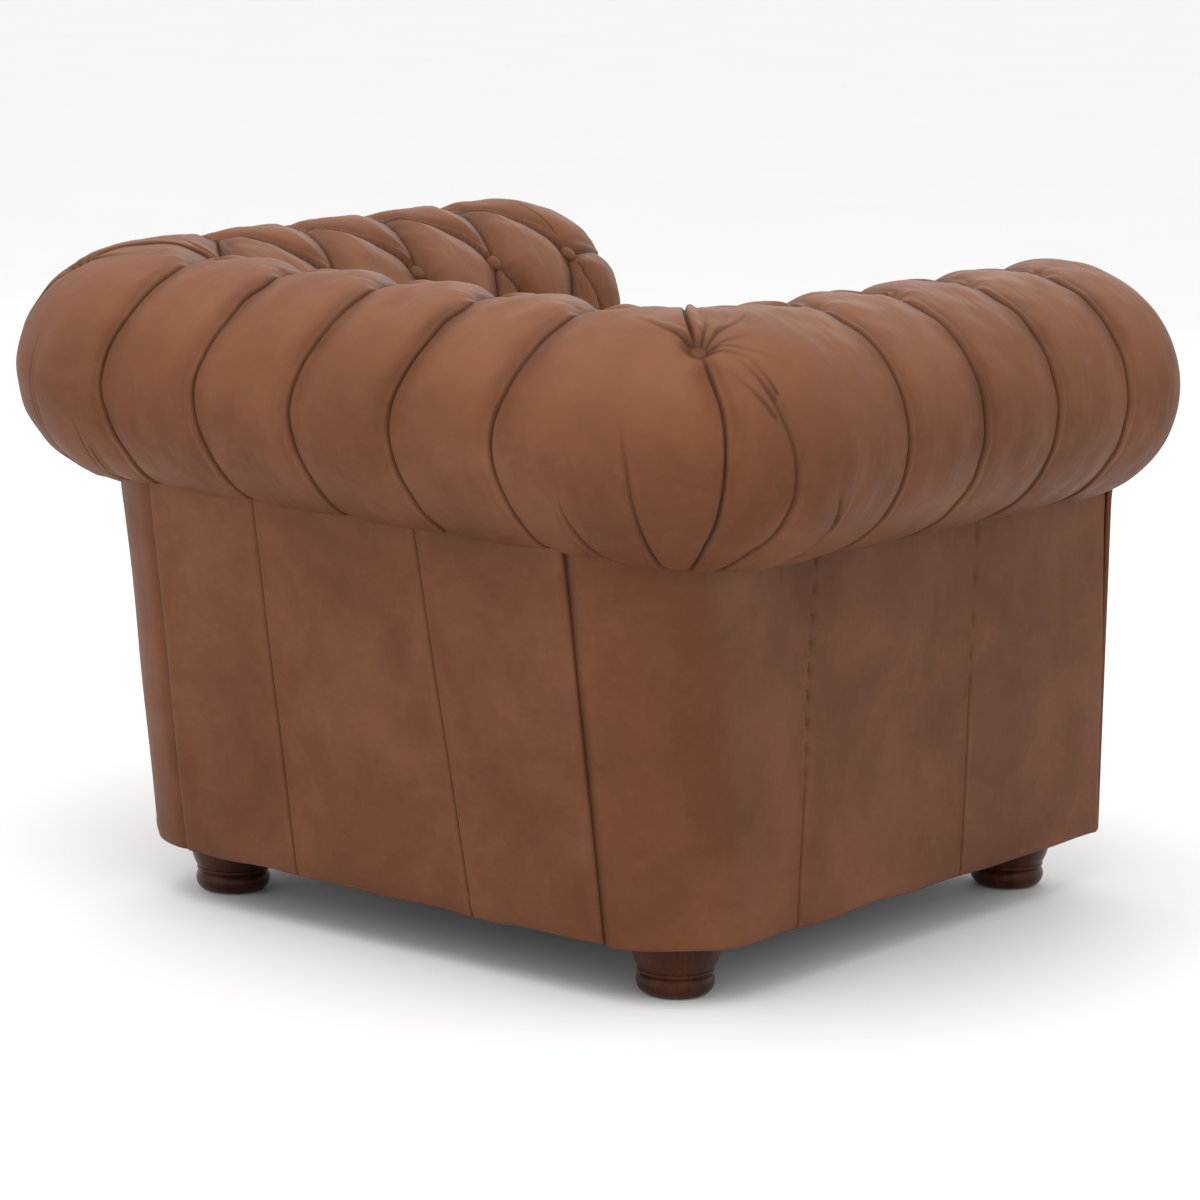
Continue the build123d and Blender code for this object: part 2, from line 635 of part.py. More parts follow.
def make_feet():
    foot = foot_solid()
    glide = Pos(0, 0, GLIDE_T / 2) * Cylinder(GLIDE_R, GLIDE_T)
    bolt = Pos(0, 0, 62.0) * Cylinder(BOLT_R - 0.1, 62.0)
    nut = Pos(0, 0, FRAME_Z + 1.0) * Cylinder(12.0, 1.6) + Pos(0, 0, FRAME_Z + 7.0) * Cylinder(5.2, 12.0)
    nut = nut - Cylinder(BOLT_R, 300.0)
    recess = Pos(0, 0, FRAME_Z + 1.0) * Cylinder(12.2, 2.2) + Pos(0, 0, FRAME_Z + 30.0) * Cylinder(5.4, 60.0)
    bolts = []
    nuts = []
    glides = []
    blocks = []
    screws = frame_screws()
    for name, (x, y) in foot_places().items():
        save(f"foot_{name}", Pos(x, y, 0) * foot)
        glides.append(Pos(x, y, 0) * glide)
        bolts.append(Pos(x, y, 0) * bolt)
        nuts.append(Pos(x, y, 0) * nut)
        x0, x1 = sorted((math.copysign(255.0, x), math.copysign(POST_IN_X - 0.5, x)))
        y0, y1 = (-405.5, -320.0) if y < 0 else (150.0, REAR_RAIL_Y - GAP)
        blocks.append(span(x0, x1, y0, y1, FRAME_Z, 126.0) - Pos(x, y, 0) * recess - screws)
    save("glides", Compound(children=glides))
    save("foot_bolts", Compound(children=bolts))
    save("tee_nuts", Compound(children=nuts))
    save("foot_blocks", Compound(children=blocks))


def make_dust_cover():
    y0 = FRONT_RAIL_Y + 2
    y1 = WALL_Y_BASE - 6
    cloth = span(-384.0, 384.0, y0, y1, FRAME_Z - 1.4, FRAME_Z - 0.4)
    cloth = fillet(cloth.edges().filter_by(Axis.Z).group_by(Axis.Y)[-1], 106.0)
    for x, y in foot_places().values():
        cloth -= Pos(x, y, FRAME_Z) * Cylinder(49.0, 20.0)
    save("dust_cover", cloth)
    staples = []
    for i in range(13):
        x = -240.0 + 40.0 * i
        for y in (y0 + 8, y1 - 12):
            staples.append(Pos(x, y, FRAME_Z - 2.0) * Box(10.0, 0.9, 0.9))
    for i in range(10):
        y = -300.0 + 45.0 * i
        for x in (-374.0, 374.0):
            staples.append(Pos(x, y, FRAME_Z - 2.0) * Box(0.9, 10.0, 0.9))
    save("staples", Compound(children=staples))


os.makedirs("parts", exist_ok=True)
make_arm_upholstery()
make_back_upholstery()
make_corner_upholstery()
make_arm_front()
make_facing()
make_panels()
make_timber()
make_webbing()
make_springs()
make_deck()
make_cushion()
make_feet()
make_dust_cover()
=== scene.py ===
import json
import math

import bmesh
import bpy
import numpy as np
from mathutils import Matrix, Vector
from mathutils.bvhtree import BVHTree


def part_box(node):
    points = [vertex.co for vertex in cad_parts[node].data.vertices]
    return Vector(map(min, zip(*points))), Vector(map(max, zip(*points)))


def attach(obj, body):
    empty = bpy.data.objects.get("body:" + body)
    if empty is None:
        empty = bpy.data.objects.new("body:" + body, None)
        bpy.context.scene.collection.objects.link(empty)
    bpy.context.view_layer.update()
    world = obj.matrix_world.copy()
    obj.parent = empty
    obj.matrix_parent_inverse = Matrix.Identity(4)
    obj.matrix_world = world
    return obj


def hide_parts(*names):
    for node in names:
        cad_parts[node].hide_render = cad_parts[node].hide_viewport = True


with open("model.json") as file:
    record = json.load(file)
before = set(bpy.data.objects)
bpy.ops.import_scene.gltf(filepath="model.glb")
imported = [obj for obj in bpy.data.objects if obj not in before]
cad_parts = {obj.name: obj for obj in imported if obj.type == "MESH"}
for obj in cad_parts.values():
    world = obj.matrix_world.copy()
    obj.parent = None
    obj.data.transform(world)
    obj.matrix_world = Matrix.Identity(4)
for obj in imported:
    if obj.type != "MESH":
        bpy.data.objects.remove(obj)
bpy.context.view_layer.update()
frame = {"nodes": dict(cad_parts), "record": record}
nodes = frame["nodes"]
MM = 1000.0


def box(node):
    """Corners of a CAD node in millimetres."""
    lo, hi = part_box(node)
    return np.array(lo) * MM, np.array(hi) * MM


# Sizes in millimetres, most of them read from the CAD nodes
cover_lo, cover_hi = box("arm_cover_right")
roll_lo, roll_hi = box("arm_roll_pad_right")
back_lo, back_hi = box("back_roll_pad")
front_lo = box("arm_front_cover_right")[0]
W = (cover_hi[0] - cover_lo[0]) / 2
ARM_X = (cover_hi[0] + cover_lo[0]) / 2
SKIN = cover_hi[2] - roll_hi[2]
ZC = (roll_hi[2] + roll_lo[2]) / 2
H = (roll_hi[2] - roll_lo[2]) / 2 + SKIN
BACK_Y = (back_lo[1] + back_hi[1]) / 2
CORNER_Y = cover_hi[1]
CORNER_R = BACK_Y - CORNER_Y
CORNER_X = ARM_X - CORNER_R
DOME_Y = cover_lo[1]
DECK_Z = cover_lo[2]
FRONT_Y = front_lo[1]
BACK_BASE = box("back_inside_pad")[0][1] - 2.0 - BACK_Y     # inside surface at the deck, from the roll's axis
ARM_BASE_U = -112.0
DOME_DEPTH = 127.0          # how far the covering runs forward of the rolls
L1 = CORNER_Y - DOME_Y      # length of an arm's roll
LC = CORNER_R * math.pi / 2     # length of a corner, along the roll's axis
S_BACK = L1 + LC + CORNER_X     # middle of the back
PITCH = 131.0               # between buttons
HEM_Z = box("outside_back_panel")[0][2]


# ---------------------------------------------------------------- meshes

def linked(obj):
    bpy.context.scene.collection.objects.link(obj)
    return obj


def finish_mesh(mesh, attributes):
    """Smooth shading, and the fields that the leather's colour follows."""
    mesh.polygons.foreach_set("use_smooth", np.ones(len(mesh.polygons), bool))
    for key, values in attributes.items():
        field = mesh.attributes.new(key, "FLOAT", "POINT")
        field.data.foreach_set("value", np.asarray(values, np.float32).ravel())


def mesh_object(name, verts, faces, material, attributes=None, body="chair"):
    """An object from points in millimetres and faces with the same number of corners."""
    mesh = bpy.data.meshes.new(name)
    verts = np.asarray(verts, float) * (1 / MM)
    faces = np.asarray(faces, np.int32)
    mesh.vertices.add(len(verts))
    mesh.vertices.foreach_set("co", verts.astype(np.float32).ravel())
    mesh.loops.add(faces.size)
    mesh.loops.foreach_set("vertex_index", faces.ravel())
    mesh.polygons.add(len(faces))
    mesh.polygons.foreach_set("loop_start", np.arange(0, faces.size, faces.shape[1], dtype=np.int32))
    mesh.update(calc_edges=True)
    mesh.validate()
    finish_mesh(mesh, attributes or {})
    obj = linked(bpy.data.objects.new(name, mesh))
    obj.data.materials.append(material)
    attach(obj, body)
    return obj


def grid_faces(rows, cols, flip=False, wrap=False):
    """Quads between the points of a grid, whose rows close on themselves where wrap is set."""
    i = np.arange(rows - 1)[:, None]
    j = np.arange(cols if wrap else cols - 1)[None, :]
    k = (j + 1) % cols
    quad = np.stack([i * cols + j, i * cols + k, (i + 1) * cols + k, (i + 1) * cols + j], -1)
    quad = quad.reshape(-1, 4)
    return quad[:, ::-1] if flip else quad


def normals_of(p):
    """Unit normals of a grid of points (rows, cols, 3)."""
    du = np.gradient(p, axis=1)
    dv = np.gradient(p, axis=0)
    n = np.cross(du, dv)
    return n / np.maximum(np.linalg.norm(n, axis=-1, keepdims=True), 1e-9)


def smooth(x):
    x = np.clip(x, 0, 1)
    return x * x * (3 - 2 * x)


def wobble(a, b, size, seed, n=7):
    """A smooth random field between about -1 and 1."""
    r = np.random.default_rng(seed)
    out = 0
    for _ in range(n):
        angle = r.uniform(0, math.pi)
        length = size * r.uniform(0.7, 1.5)
        out = out + np.sin((a * math.cos(angle) + b * math.sin(angle)) * 2 * math.pi / length + r.uniform(0, 6.28))
    return out / math.sqrt(n)


def streaks(a, b, size, seed, n=6, sway=0.15):
    """Fine lines across a that wander a little along b; sharp valleys, round tops."""
    r = np.random.default_rng(seed)
    a = a + sway * size * wobble(b, a * 0.2, size * 5, seed + 1)
    out = 0
    for _ in range(n):
        wave = np.sin(a * 2 * math.pi / (size * r.uniform(0.6, 1.7)) + r.uniform(0, 6.28))
        out = out + (1 - np.abs(wave) ** 0.7) * r.uniform(0.4, 1.0)
    return -out / n


# ---------------------------------------------------------------- materials

def new_material(name):
    m = bpy.data.materials.new(name)
    m.use_nodes = True
    nt = m.node_tree
    return m, nt, nt.nodes["Principled BSDF"]


def noise(nt, vector, scale, detail=4.0, rough=0.55, distortion=0.0):
    n = nt.nodes.new("ShaderNodeTexNoise")
    n.inputs["Scale"].default_value = scale
    n.inputs["Detail"].default_value = detail
    n.inputs["Roughness"].default_value = rough
    n.inputs["Distortion"].default_value = distortion
    nt.links.new(vector, n.inputs["Vector"])
    return n.outputs["Fac"]


def coords(nt, stretch=None):
    tex = nt.nodes.new("ShaderNodeTexCoord")
    out = tex.outputs["Object"]
    if stretch:
        mapping = nt.nodes.new("ShaderNodeMapping")
        mapping.inputs["Scale"].default_value = stretch
        nt.links.new(out, mapping.inputs["Vector"])
        out = mapping.outputs["Vector"]
    return out


def ramp(nt, fac, stops):
    r = nt.nodes.new("ShaderNodeValToRGB")
    elements = r.color_ramp.elements
    while len(elements) < len(stops):
        elements.new(0.5)
    for e, (pos, colour) in zip(elements, stops):
        e.position = pos
        e.color = (*colour, 1.0) if len(colour) == 3 else colour
    nt.links.new(fac, r.inputs["Fac"])
    return r.outputs["Color"]


def mix(nt, fac, a, b, blend="MIX"):
    """A colour mix of a and b, each a socket or a plain value. Its colour sockets are inputs 6 and 7, and output 2."""
    m = nt.nodes.new("ShaderNodeMix")
    m.data_type = "RGBA"
    m.blend_type = blend
    for socket, value in ((m.inputs["Factor"], fac), (m.inputs[6], a), (m.inputs[7], b)):
        if isinstance(value, bpy.types.NodeSocket):
            nt.links.new(value, socket)
        else:
            socket.default_value = (*value, 1.0) if isinstance(value, tuple) else value
    return m.outputs[2]


def product(nt, a, b, operation="MULTIPLY"):
    m = nt.nodes.new("ShaderNodeMath")
    m.operation = operation
    nt.links.new(a, m.inputs[0])
    nt.links.new(b, m.inputs[1])
    return m.outputs[0]


def attribute(nt, name):
    a = nt.nodes.new("ShaderNodeAttribute")
    a.attribute_name = name
    return a.outputs["Fac"]


def to_range(nt, fac, low, high):
    m = nt.nodes.new("ShaderNodeMapRange")
    m.inputs["To Min"].default_value = low
    m.inputs["To Max"].default_value = high
    nt.links.new(fac, m.inputs["Value"])
    return m.outputs["Result"]


def bump(nt, height, strength, distance, normal=None):
    b = nt.nodes.new("ShaderNodeBump")
    b.inputs["Strength"].default_value = strength
    b.inputs["Distance"].default_value = distance
    nt.links.new(height, b.inputs["Height"])
    if normal is not None:
        nt.links.new(normal, b.inputs["Normal"])
    return b.outputs["Normal"]


# The two last colours: the paler is partly wear and partly a painted highlight on the crowns; the darkest is painted
# shade for folds, seams, edges and button recesses.
LEATHER = {
    "dark": (0.096, 0.031, 0.0112), "mid": (0.128, 0.0435, 0.0175), "pale": (0.164, 0.061, 0.027),
    "wear_and_highlight": (0.202, 0.080, 0.039), "painted_shade": (0.030, 0.0095, 0.0042),
}


def leather(name, tint=1.0, rough=(0.47, 0.63), painted_shading=True):
    """Waxed aniline leather: cloudy brown, fine grain, with painted shade in its folds and a paler crown colour, partly
    wear and partly painted highlight.
    """
    m, nt, shader = new_material(name)
    here = coords(nt)
    tone = {key: tuple(c * tint for c in colour) for key, colour in LEATHER.items()}
    cloud = noise(nt, here, 7.0, 5.0, 0.6, 0.4)
    colour = ramp(nt, cloud, [(0.30, tone["dark"]), (0.50, tone["mid"]), (0.72, tone["pale"])])
    speckle = noise(nt, here, 90.0, 4.0, 0.65)
    fine = ramp(nt, speckle, [(0.3, (0.93, 0.92, 0.91)), (0.7, (1.05, 1.05, 1.05))])
    colour = mix(nt, 1.0, colour, fine, "MULTIPLY")
    # painted highlight, partly wear, on the crowns, and painted shade in the folds, seams, edges and button recesses,
    # from the mesh attributes
    if painted_shading:
        patches = to_range(nt, noise(nt, coords(nt, (1.0, 1.0, 0.5)), 13.0, 5.0, 0.62), 0.15, 1.45)
        colour = mix(nt, product(nt, attribute(nt, "wear_and_highlight"), patches), colour, tone["wear_and_highlight"])
        colour = mix(nt, attribute(nt, "painted_shade"), colour, tone["painted_shade"])
    nt.links.new(colour, shader.inputs["Base Color"])
    nt.links.new(to_range(nt, noise(nt, here, 24.0, 4.0), *rough), shader.inputs["Roughness"])
    shader.inputs["Specular IOR Level"].default_value = 0.20
    shader.inputs["Specular Tint"].default_value = (1.0, 0.86, 0.76, 1.0)
    voronoi = nt.nodes.new("ShaderNodeTexVoronoi")
    voronoi.feature = "DISTANCE_TO_EDGE"
    voronoi.inputs["Scale"].default_value = 720.0
    nt.links.new(here, voronoi.inputs["Vector"])
    grain = bump(nt, voronoi.outputs["Distance"], 0.10, 0.0004)
    soft = bump(nt, noise(nt, here, 160.0, 5.0, 0.6), 0.14, 0.0012, grain)
    wide = bump(nt, noise(nt, coords(nt, (1.0, 1.0, 0.35)), 32.0, 3.0, 0.5), 0.10, 0.006, soft)
    nt.links.new(wide, shader.inputs["Normal"])
    return m


def grained(name, colours, scale, rough, bump_strength=0.2, bump_size=0.001, metal=0.0):
    """Two tones in a fine grain, for foam, felt, plastic and metal."""
    m, nt, shader = new_material(name)
    here = coords(nt)
    field = noise(nt, here, scale, 5.0, 0.6, 0.3)
    nt.links.new(ramp(nt, field, [(0.3, colours[0]), (0.7, colours[1])]), shader.inputs["Base Color"])
    nt.links.new(to_range(nt, noise(nt, here, scale * 3, 3.0), *rough), shader.inputs["Roughness"])
    nt.links.new(bump(nt, noise(nt, here, scale * 5, 4.0), bump_strength, bump_size), shader.inputs["Normal"])
    shader.inputs["Metallic"].default_value = metal
    return m


def woven(name, colours, pitch):
    """A plain weave from two crossed waves, pitch in millimetres."""
    m, nt, shader = new_material(name)
    here = coords(nt)
    heights = []
    for axis in ("X", "Y"):
        wave = nt.nodes.new("ShaderNodeTexWave")
        wave.bands_direction = axis
        wave.inputs["Scale"].default_value = 31.4 / pitch
        wave.inputs["Distortion"].default_value = 0.6
        wave.inputs["Detail"].default_value = 1.0
        nt.links.new(here, wave.inputs["Vector"])
        heights.append(wave.outputs["Fac"])
    threads = product(nt, *heights, "MAXIMUM")
    colour = ramp(nt, threads, [(0.2, colours[0]), (0.9, colours[1])])
    cloud = ramp(nt, noise(nt, here, 20.0), [(0.3, (0.88, 0.88, 0.88)), (0.7, (1.08, 1.08, 1.08))])
    nt.links.new(mix(nt, 1.0, colour, cloud, "MULTIPLY"), shader.inputs["Base Color"])
    nt.links.new(bump(nt, threads, 0.5, 0.0006), shader.inputs["Normal"])
    shader.inputs["Roughness"].default_value = 0.9
    return m


def wood(name, colours, rough, coat=0.0, stretch=(1.0, 1.0, 0.12)):
    """Three tones along the grain, with fine darker pores."""
    m, nt, shader = new_material(name)
    here = coords(nt, stretch)
    grain = noise(nt, here, 30.0, 6.0, 0.62, 1.2)
    colour = ramp(nt, grain, [(0.28, colours[0]), (0.52, colours[1]), (0.75, colours[2])])
    pore = noise(nt, here, 270.0, 3.0, 0.5)
    pores = ramp(nt, pore, [(0.36, (0.72, 0.70, 0.68)), (0.5, (1.0, 1.0, 1.0))])
    nt.links.new(mix(nt, 1.0, colour, pores, "MULTIPLY"), shader.inputs["Base Color"])
    nt.links.new(to_range(nt, grain, *rough), shader.inputs["Roughness"])
    nt.links.new(bump(nt, pore, 0.12, 0.0004), shader.inputs["Normal"])
    shader.inputs["Specular IOR Level"].default_value = 0.25
    shader.inputs["Specular Tint"].default_value = (1.0, 0.62, 0.48, 1.0)
    shader.inputs["Coat Weight"].default_value = coat
    shader.inputs["Coat Roughness"].default_value = 0.16
    return m


hide = leather("leather_roll")
hide_panel = leather("leather_panel", tint=0.94)
hide_plain = leather("leather_small", tint=0.96, painted_shading=False)
piping_hide = leather("leather_piping", tint=0.92, rough=(0.40, 0.52), painted_shading=False)
finishes = {
    "foot_wood": wood(
        "stained_wood", [(0.016, 0.0042, 0.0018), (0.040, 0.0105, 0.0045), (0.070, 0.019, 0.0085)], (0.30, 0.42),
        coat=0.05, stretch=(1.0, 1.0, 0.25),
    ),
    "hardwood": wood("beech", [(0.42, 0.27, 0.15), (0.55, 0.38, 0.23), (0.62, 0.45, 0.29)], (0.5, 0.7)),
    "plywood": wood(
        "plywood", [(0.46, 0.32, 0.19), (0.58, 0.43, 0.27), (0.66, 0.50, 0.33)], (0.6, 0.8), stretch=(1, 0.1, 0.3),
    ),
    "foam": grained("foam", [(0.70, 0.64, 0.44), (0.80, 0.75, 0.58)], 40.0, (0.85, 0.98), 0.5, 0.002),
    "felt": grained("felt", [(0.22, 0.22, 0.23), (0.38, 0.37, 0.37)], 120.0, (0.9, 1.0), 0.6, 0.001),
    "deck_fabric": woven("deck_weave", [(0.060, 0.032, 0.020), (0.115, 0.064, 0.042)], 1.6),
    "webbing": woven("webbing_weave", [(0.10, 0.085, 0.065), (0.30, 0.26, 0.20)], 2.4),
    "spring_steel": grained("spring_steel", [(0.20, 0.21, 0.22), (0.34, 0.35, 0.36)], 60.0, (0.28, 0.42), metal=0.9),
    "fixing_steel": grained("zinc_steel", [(0.45, 0.46, 0.48), (0.60, 0.61, 0.62)], 60.0, (0.25, 0.4), metal=1.0),
    "glide_plastic": grained("glide_plastic", [(0.018, 0.018, 0.019), (0.030, 0.030, 0.031)], 80.0, (0.4, 0.55)),
    "dust_cloth": woven("dust_weave", [(0.012, 0.012, 0.013), (0.032, 0.032, 0.034)], 1.2),
    "zip_tape": woven("zip_weave", [(0.040, 0.020, 0.012), (0.080, 0.042, 0.028)], 1.0),
    "zip_metal": grained("zip_brass", [(0.28, 0.20, 0.10), (0.42, 0.31, 0.17)], 90.0, (0.25, 0.4), metal=1.0),
    "leather": hide_plain,
    "leather_facing": hide_plain,
    "leather_piping": piping_hide,
    "button_leather": hide_plain,
}

for entry in frame["record"]["subparts"]:
    node = nodes[entry["node"]]
    node.data.materials.clear()
    node.data.materials.append(finishes[entry["material_slot"]])


# ---------------------------------------------------------------- the roll's shape

TABLE_A = np.linspace(-100, 190, 2901)
TABLE_MID = np.radians((TABLE_A[1:] + TABLE_A[:-1]) / 2)
TABLE_STEP = np.hypot(W * np.sin(TABLE_MID), H * np.cos(TABLE_MID)) * np.radians(np.diff(TABLE_A))
TABLE_L = np.concatenate([[0], np.cumsum(TABLE_STEP)])
TABLE_L -= np.interp(0.0, TABLE_A, TABLE_L)


def arc(angle):
    """Length along the roll's section from its outermost point."""
    return np.interp(angle, TABLE_A, TABLE_L)


def tangent_of(base_u):
    """Where the inside surface, a straight line up from the deck, meets the roll's inner side."""
    across = -base_u * H
    up = (ZC - DECK_Z) * W
    t = math.pi + math.atan2(up, across) - math.acos(W * H / math.hypot(across, up))
    return W * math.cos(t), ZC + H * math.sin(t)


def inner_u(base_u, z):
    """Distance of the inside surface from the roll's axis at a height."""
    ut, zt = tangent_of(base_u)
    on_roll = -W * np.sqrt(np.clip(1 - ((z - ZC) / H) ** 2, 0, 1))
    on_line = base_u + (ut - base_u) * (z - DECK_Z) / (zt - DECK_Z)
    return np.where(z > zt, on_roll, on_line)


# The rows of buttons and other places, by their length T along the section from the roll's outermost point
T_CREST = arc(82.0)
T_INNER = arc(139.0)
T_SIDE = arc(180.0)
T_LOW = T_SIDE + (ZC - 497.0)
T_DECK = T_SIDE + (ZC - DECK_Z)
UNDER = -88.0               # the covering runs this far under the roll, in degrees
INNER_BEND = 15.0           # eases the inside corner
OUT_ROWS, TOP_ROWS, IN_ROWS = 74, 172, 104


def section_rows():
    """Rows of the covering: 0 under and outside, 1 over the top, 2 down the inside, each with its place."""
    tau = np.linspace(0, 1, OUT_ROWS)[:-1]
    top = np.linspace(0, 180, TOP_ROWS)[:-1]
    low = np.linspace(ZC, DECK_Z, IN_ROWS)
    part = np.concatenate([np.zeros(len(tau)), np.ones(len(top)), np.full(len(low), 2)])
    return part, np.concatenate([tau, top, low])


EASE_Y, EASE_X = 95, 211        # where the columns of the arm and of the back start to close up to the corner


def eased(along, start, end, plain_end):
    """Positions past start, stretched so that plain_end comes to end."""
    return np.where(along <= start, along, start + (along - start) * (end - start) / (plain_end - start))


def roll_points(s):
    """Points of the covering at places s along the whole U, from the right arm's front to the left arm's front, with
    their section length T. Rows run from under the roll's outer side over the top and down to the deck."""
    part, value = section_rows()
    mirror = s > S_BACK
    q = np.where(mirror, 2 * S_BACK - s, s)
    k = smooth((q - L1) / LC)[None, :]
    part, value = part[:, None], value[:, None]
    theta = np.where(part == 0, UNDER * (1 - value), np.where(part == 1, value, 180.0))
    z = np.where(part == 2, value, ZC + H * np.sin(np.radians(theta)))
    u_round = W * np.cos(np.radians(theta))
    ua = np.where(part == 2, inner_u(ARM_BASE_U, np.minimum(z, ZC)), u_round)
    ub = np.where(part == 2, inner_u(BACK_BASE, np.minimum(z, ZC)), u_round)
    t = np.where(part == 2, T_SIDE + ZC - z, arc(theta))
    um = ua * (1 - k) + ub * k + CORNER_R
    r = 0.5 * (um + np.sqrt(um * um + 4 * INNER_BEND * INNER_BEND))
    cx = ARM_X + ua - r
    cy = BACK_Y + ub - r
    yn = DOME_Y + q[None, :]
    y_arm = eased(yn, EASE_Y, cy, CORNER_Y)
    xn = CORNER_X - (q[None, :] - L1 - LC)
    x_back = eased(xn, EASE_X, cx, CORNER_X)
    phi = np.clip((q[None, :] - L1) / LC, 0, 1) * math.pi / 2
    in_arm = q[None, :] <= L1
    in_back = q[None, :] >= L1 + LC
    x = np.where(in_arm, ARM_X + ua, np.where(in_back, x_back, cx + r * np.cos(phi)))
    y = np.where(in_arm, y_arm, np.where(in_back, BACK_Y + ub, cy + r * np.sin(phi)))
    x = np.where(mirror[None, :], -x, x)
    p = np.stack([x, y, z + 0 * x], -1)
    return p, t + 0 * x


# ---------------------------------------------------------------- tufting

def arm_s(y):
    return y - DOME_Y


def back_s(x):
    return S_BACK - x


def mirrored(s):
    return 2 * S_BACK - s


ARM_ROW = [143.0 - PITCH * i for i in range(4)]
BACK_ROW = [PITCH * i - 2 * PITCH for i in range(5)]
CORNER_S = L1 + LC / 2


def corner_s(degrees):
    """Plan angle about the corner, 0 on the arm's side and 90 on the back's."""
    return L1 + LC * degrees / 90.0


def theta_t(angle):
    return float(arc(angle))


def curve(p0, p1, bow=0.0, n=7):
    """Points from p0 to p1, bowed towards smaller T."""
    t = np.linspace(0, 1, n)
    pts = np.outer(1 - t, p0) + np.outer(t, p1)
    pts[:, 1] -= bow * 4 * t * (1 - t)
    return pts


pleats = []
tufts = []      # (s, T) of every button


def pleat(points, ends=(1.0, 1.0), lip=2.0, side=1, groove=3.2, crown=True):
    """A fold along points (s, T): its strength at both ends, the height of its lip and the side that it lies on, and
    the depth of its groove. The filling crowns between folds, but not beside one with crown off."""
    pleats.append((np.asarray(points, float), ends, lip, side, groove, crown))


def crest_row(crest, way):
    """Buttons of the first row, with their folds down the outside. way is +1 where these turn towards larger s."""
    for c in crest:
        tufts.append((c, T_CREST))
        pleat([(c, T_CREST), (c + 0.6, 60.0), (c, 0.0), (c - 1.0, -90.0), (c, -260.0)], (1, 0.9), 2.3, way, 3.0)


def inside_rows(crest, inner, low, way):
    """Buttons of the second and third rows, and the folds that make the diamonds between rows."""
    gap = PITCH / 2
    for j in inner:
        tufts.append((j, T_INNER))
        for c in crest:
            if abs(abs(c - j) - gap) < 1:
                strong = (j - c) * way > 0
                pleat(curve((c, T_CREST), (j, T_INNER), 9.0 if strong else 3.0), (1, 1), 4.2 if strong else 1.6,
                      -way if strong else way, 3.4)
        for c in low:
            if abs(abs(c - j) - gap) < 1:
                strong = (c - j) * way < 0
                pleat(curve((j, T_INNER), (c, T_LOW), 6.0), (1, 1), 3.0 if strong else 1.4,
                      -way if strong else way, 3.0)
    for c in low:
        tufts.append((c, T_LOW))
        pleat([(c, T_LOW), (c, T_DECK + 20)], (1, 0.7), 2.0, way, 2.6)


# Arms, right then left; the folds turn towards the front
SIDES = ((lambda v: v, -1), (mirrored, 1))
arm_crest = [arm_s(y) for y in ARM_ROW]
arm_inner = [c - PITCH / 2 for c in arm_crest]
for place, way in SIDES:
    crest = [place(c) for c in arm_crest]
    inner = [place(c) for c in arm_inner]
    crest_row(crest, way)
    inside_rows(crest, inner, crest, way)
# Back; the folds turn towards the right arm
back_crest = [back_s(x) for x in BACK_ROW]
back_inner = [back_s(x + PITCH / 2) for x in BACK_ROW[:-1]]
crest_row(back_crest, -1)
inside_rows(back_crest, back_inner, back_crest[1:-1], 1)
# Corners: a fold down from the one button, part folds either side, and fine gathers, as (plan angle, section angle)
CORNER_BUTTON = (47.5, 56.0)
# Each has its points, the strength at both ends, lip, side of the lip and groove
CORNER_FOLDS = (
    ([CORNER_BUTTON, (44, 38), (41.2, 22), (40.8, 0), (42, -28), (46, -52), (48, -80)], (1, 1), 1.6, 1, 3.2),
    ([(30.5, 42), (27.5, 31), (24, 17), (21, 0), (20.3, -16), (23, -38), (30, -52), (34, -80)], (0.25, 1), 2.0, 1, 3.6),
    ([(5.5, -14), (2, -25), (-1.5, -38), (-2, -60)], (0.2, 1), 2.4, 1, 3.6),
    ([(70, 18), (67.5, 0), (66.5, -16), (65, -32), (62.5, -52), (60, -75)], (0.25, 1), 2.2, -1, 3.4),
    ([(88, -18), (88.3, -30), (87, -42), (84, -62)], (0.2, 1), 2.4, -1, 3.8),
)
CORNER_GATHERS = (
    ([CORNER_BUTTON, (51, 70), (54, 90), (52, 112)], (1, 0.9), 2.6, -1, 3.4),
    ([CORNER_BUTTON, (57, 64), (66, 69), (78, 74)], (1, 0.1), 2.6, -1, 3.0),
    ([CORNER_BUTTON, (37, 66), (22, 74), (8, 84)], (0.8, 0.1), 1.2, 1, 1.8),
    ([CORNER_BUTTON, (38, 56), (27, 52), (19, 44)], (0.7, 0.05), 0.9, 1, 1.2),
    ([CORNER_BUTTON, (51, 60), (57, 66), (63, 69)], (1, 0.05), 0.55, 1, 0.75),
    ([CORNER_BUTTON, (45, 64), (43, 72), (41, 80)], (1, 0.05), 0.66, 1, 0.90),
    ([CORNER_BUTTON, (43, 60), (36, 69), (30, 76)], (1, 0.05), 0.66, 1, 0.90),
    ([CORNER_BUTTON, (41, 57), (33, 60), (25, 62)], (1, 0.05), 0.55, 1, 0.75),
    ([CORNER_BUTTON, (40, 53), (33, 50), (27, 44)], (1, 0.05), 0.495, 1, 0.675),
    ([(37, 50), (32, 43), (28.5, 36), (26, 27)], (0.1, 0.8), 0.72, 1, 0.64),
    ([(33, 52), (29, 44), (26.5, 37), (25, 30)], (0.1, 0.8), 0.54, 1, 0.48),
    ([(40, 44), (35, 37), (31, 30), (27, 20)], (0.1, 0.8), 0.45, 1, 0.40),
)


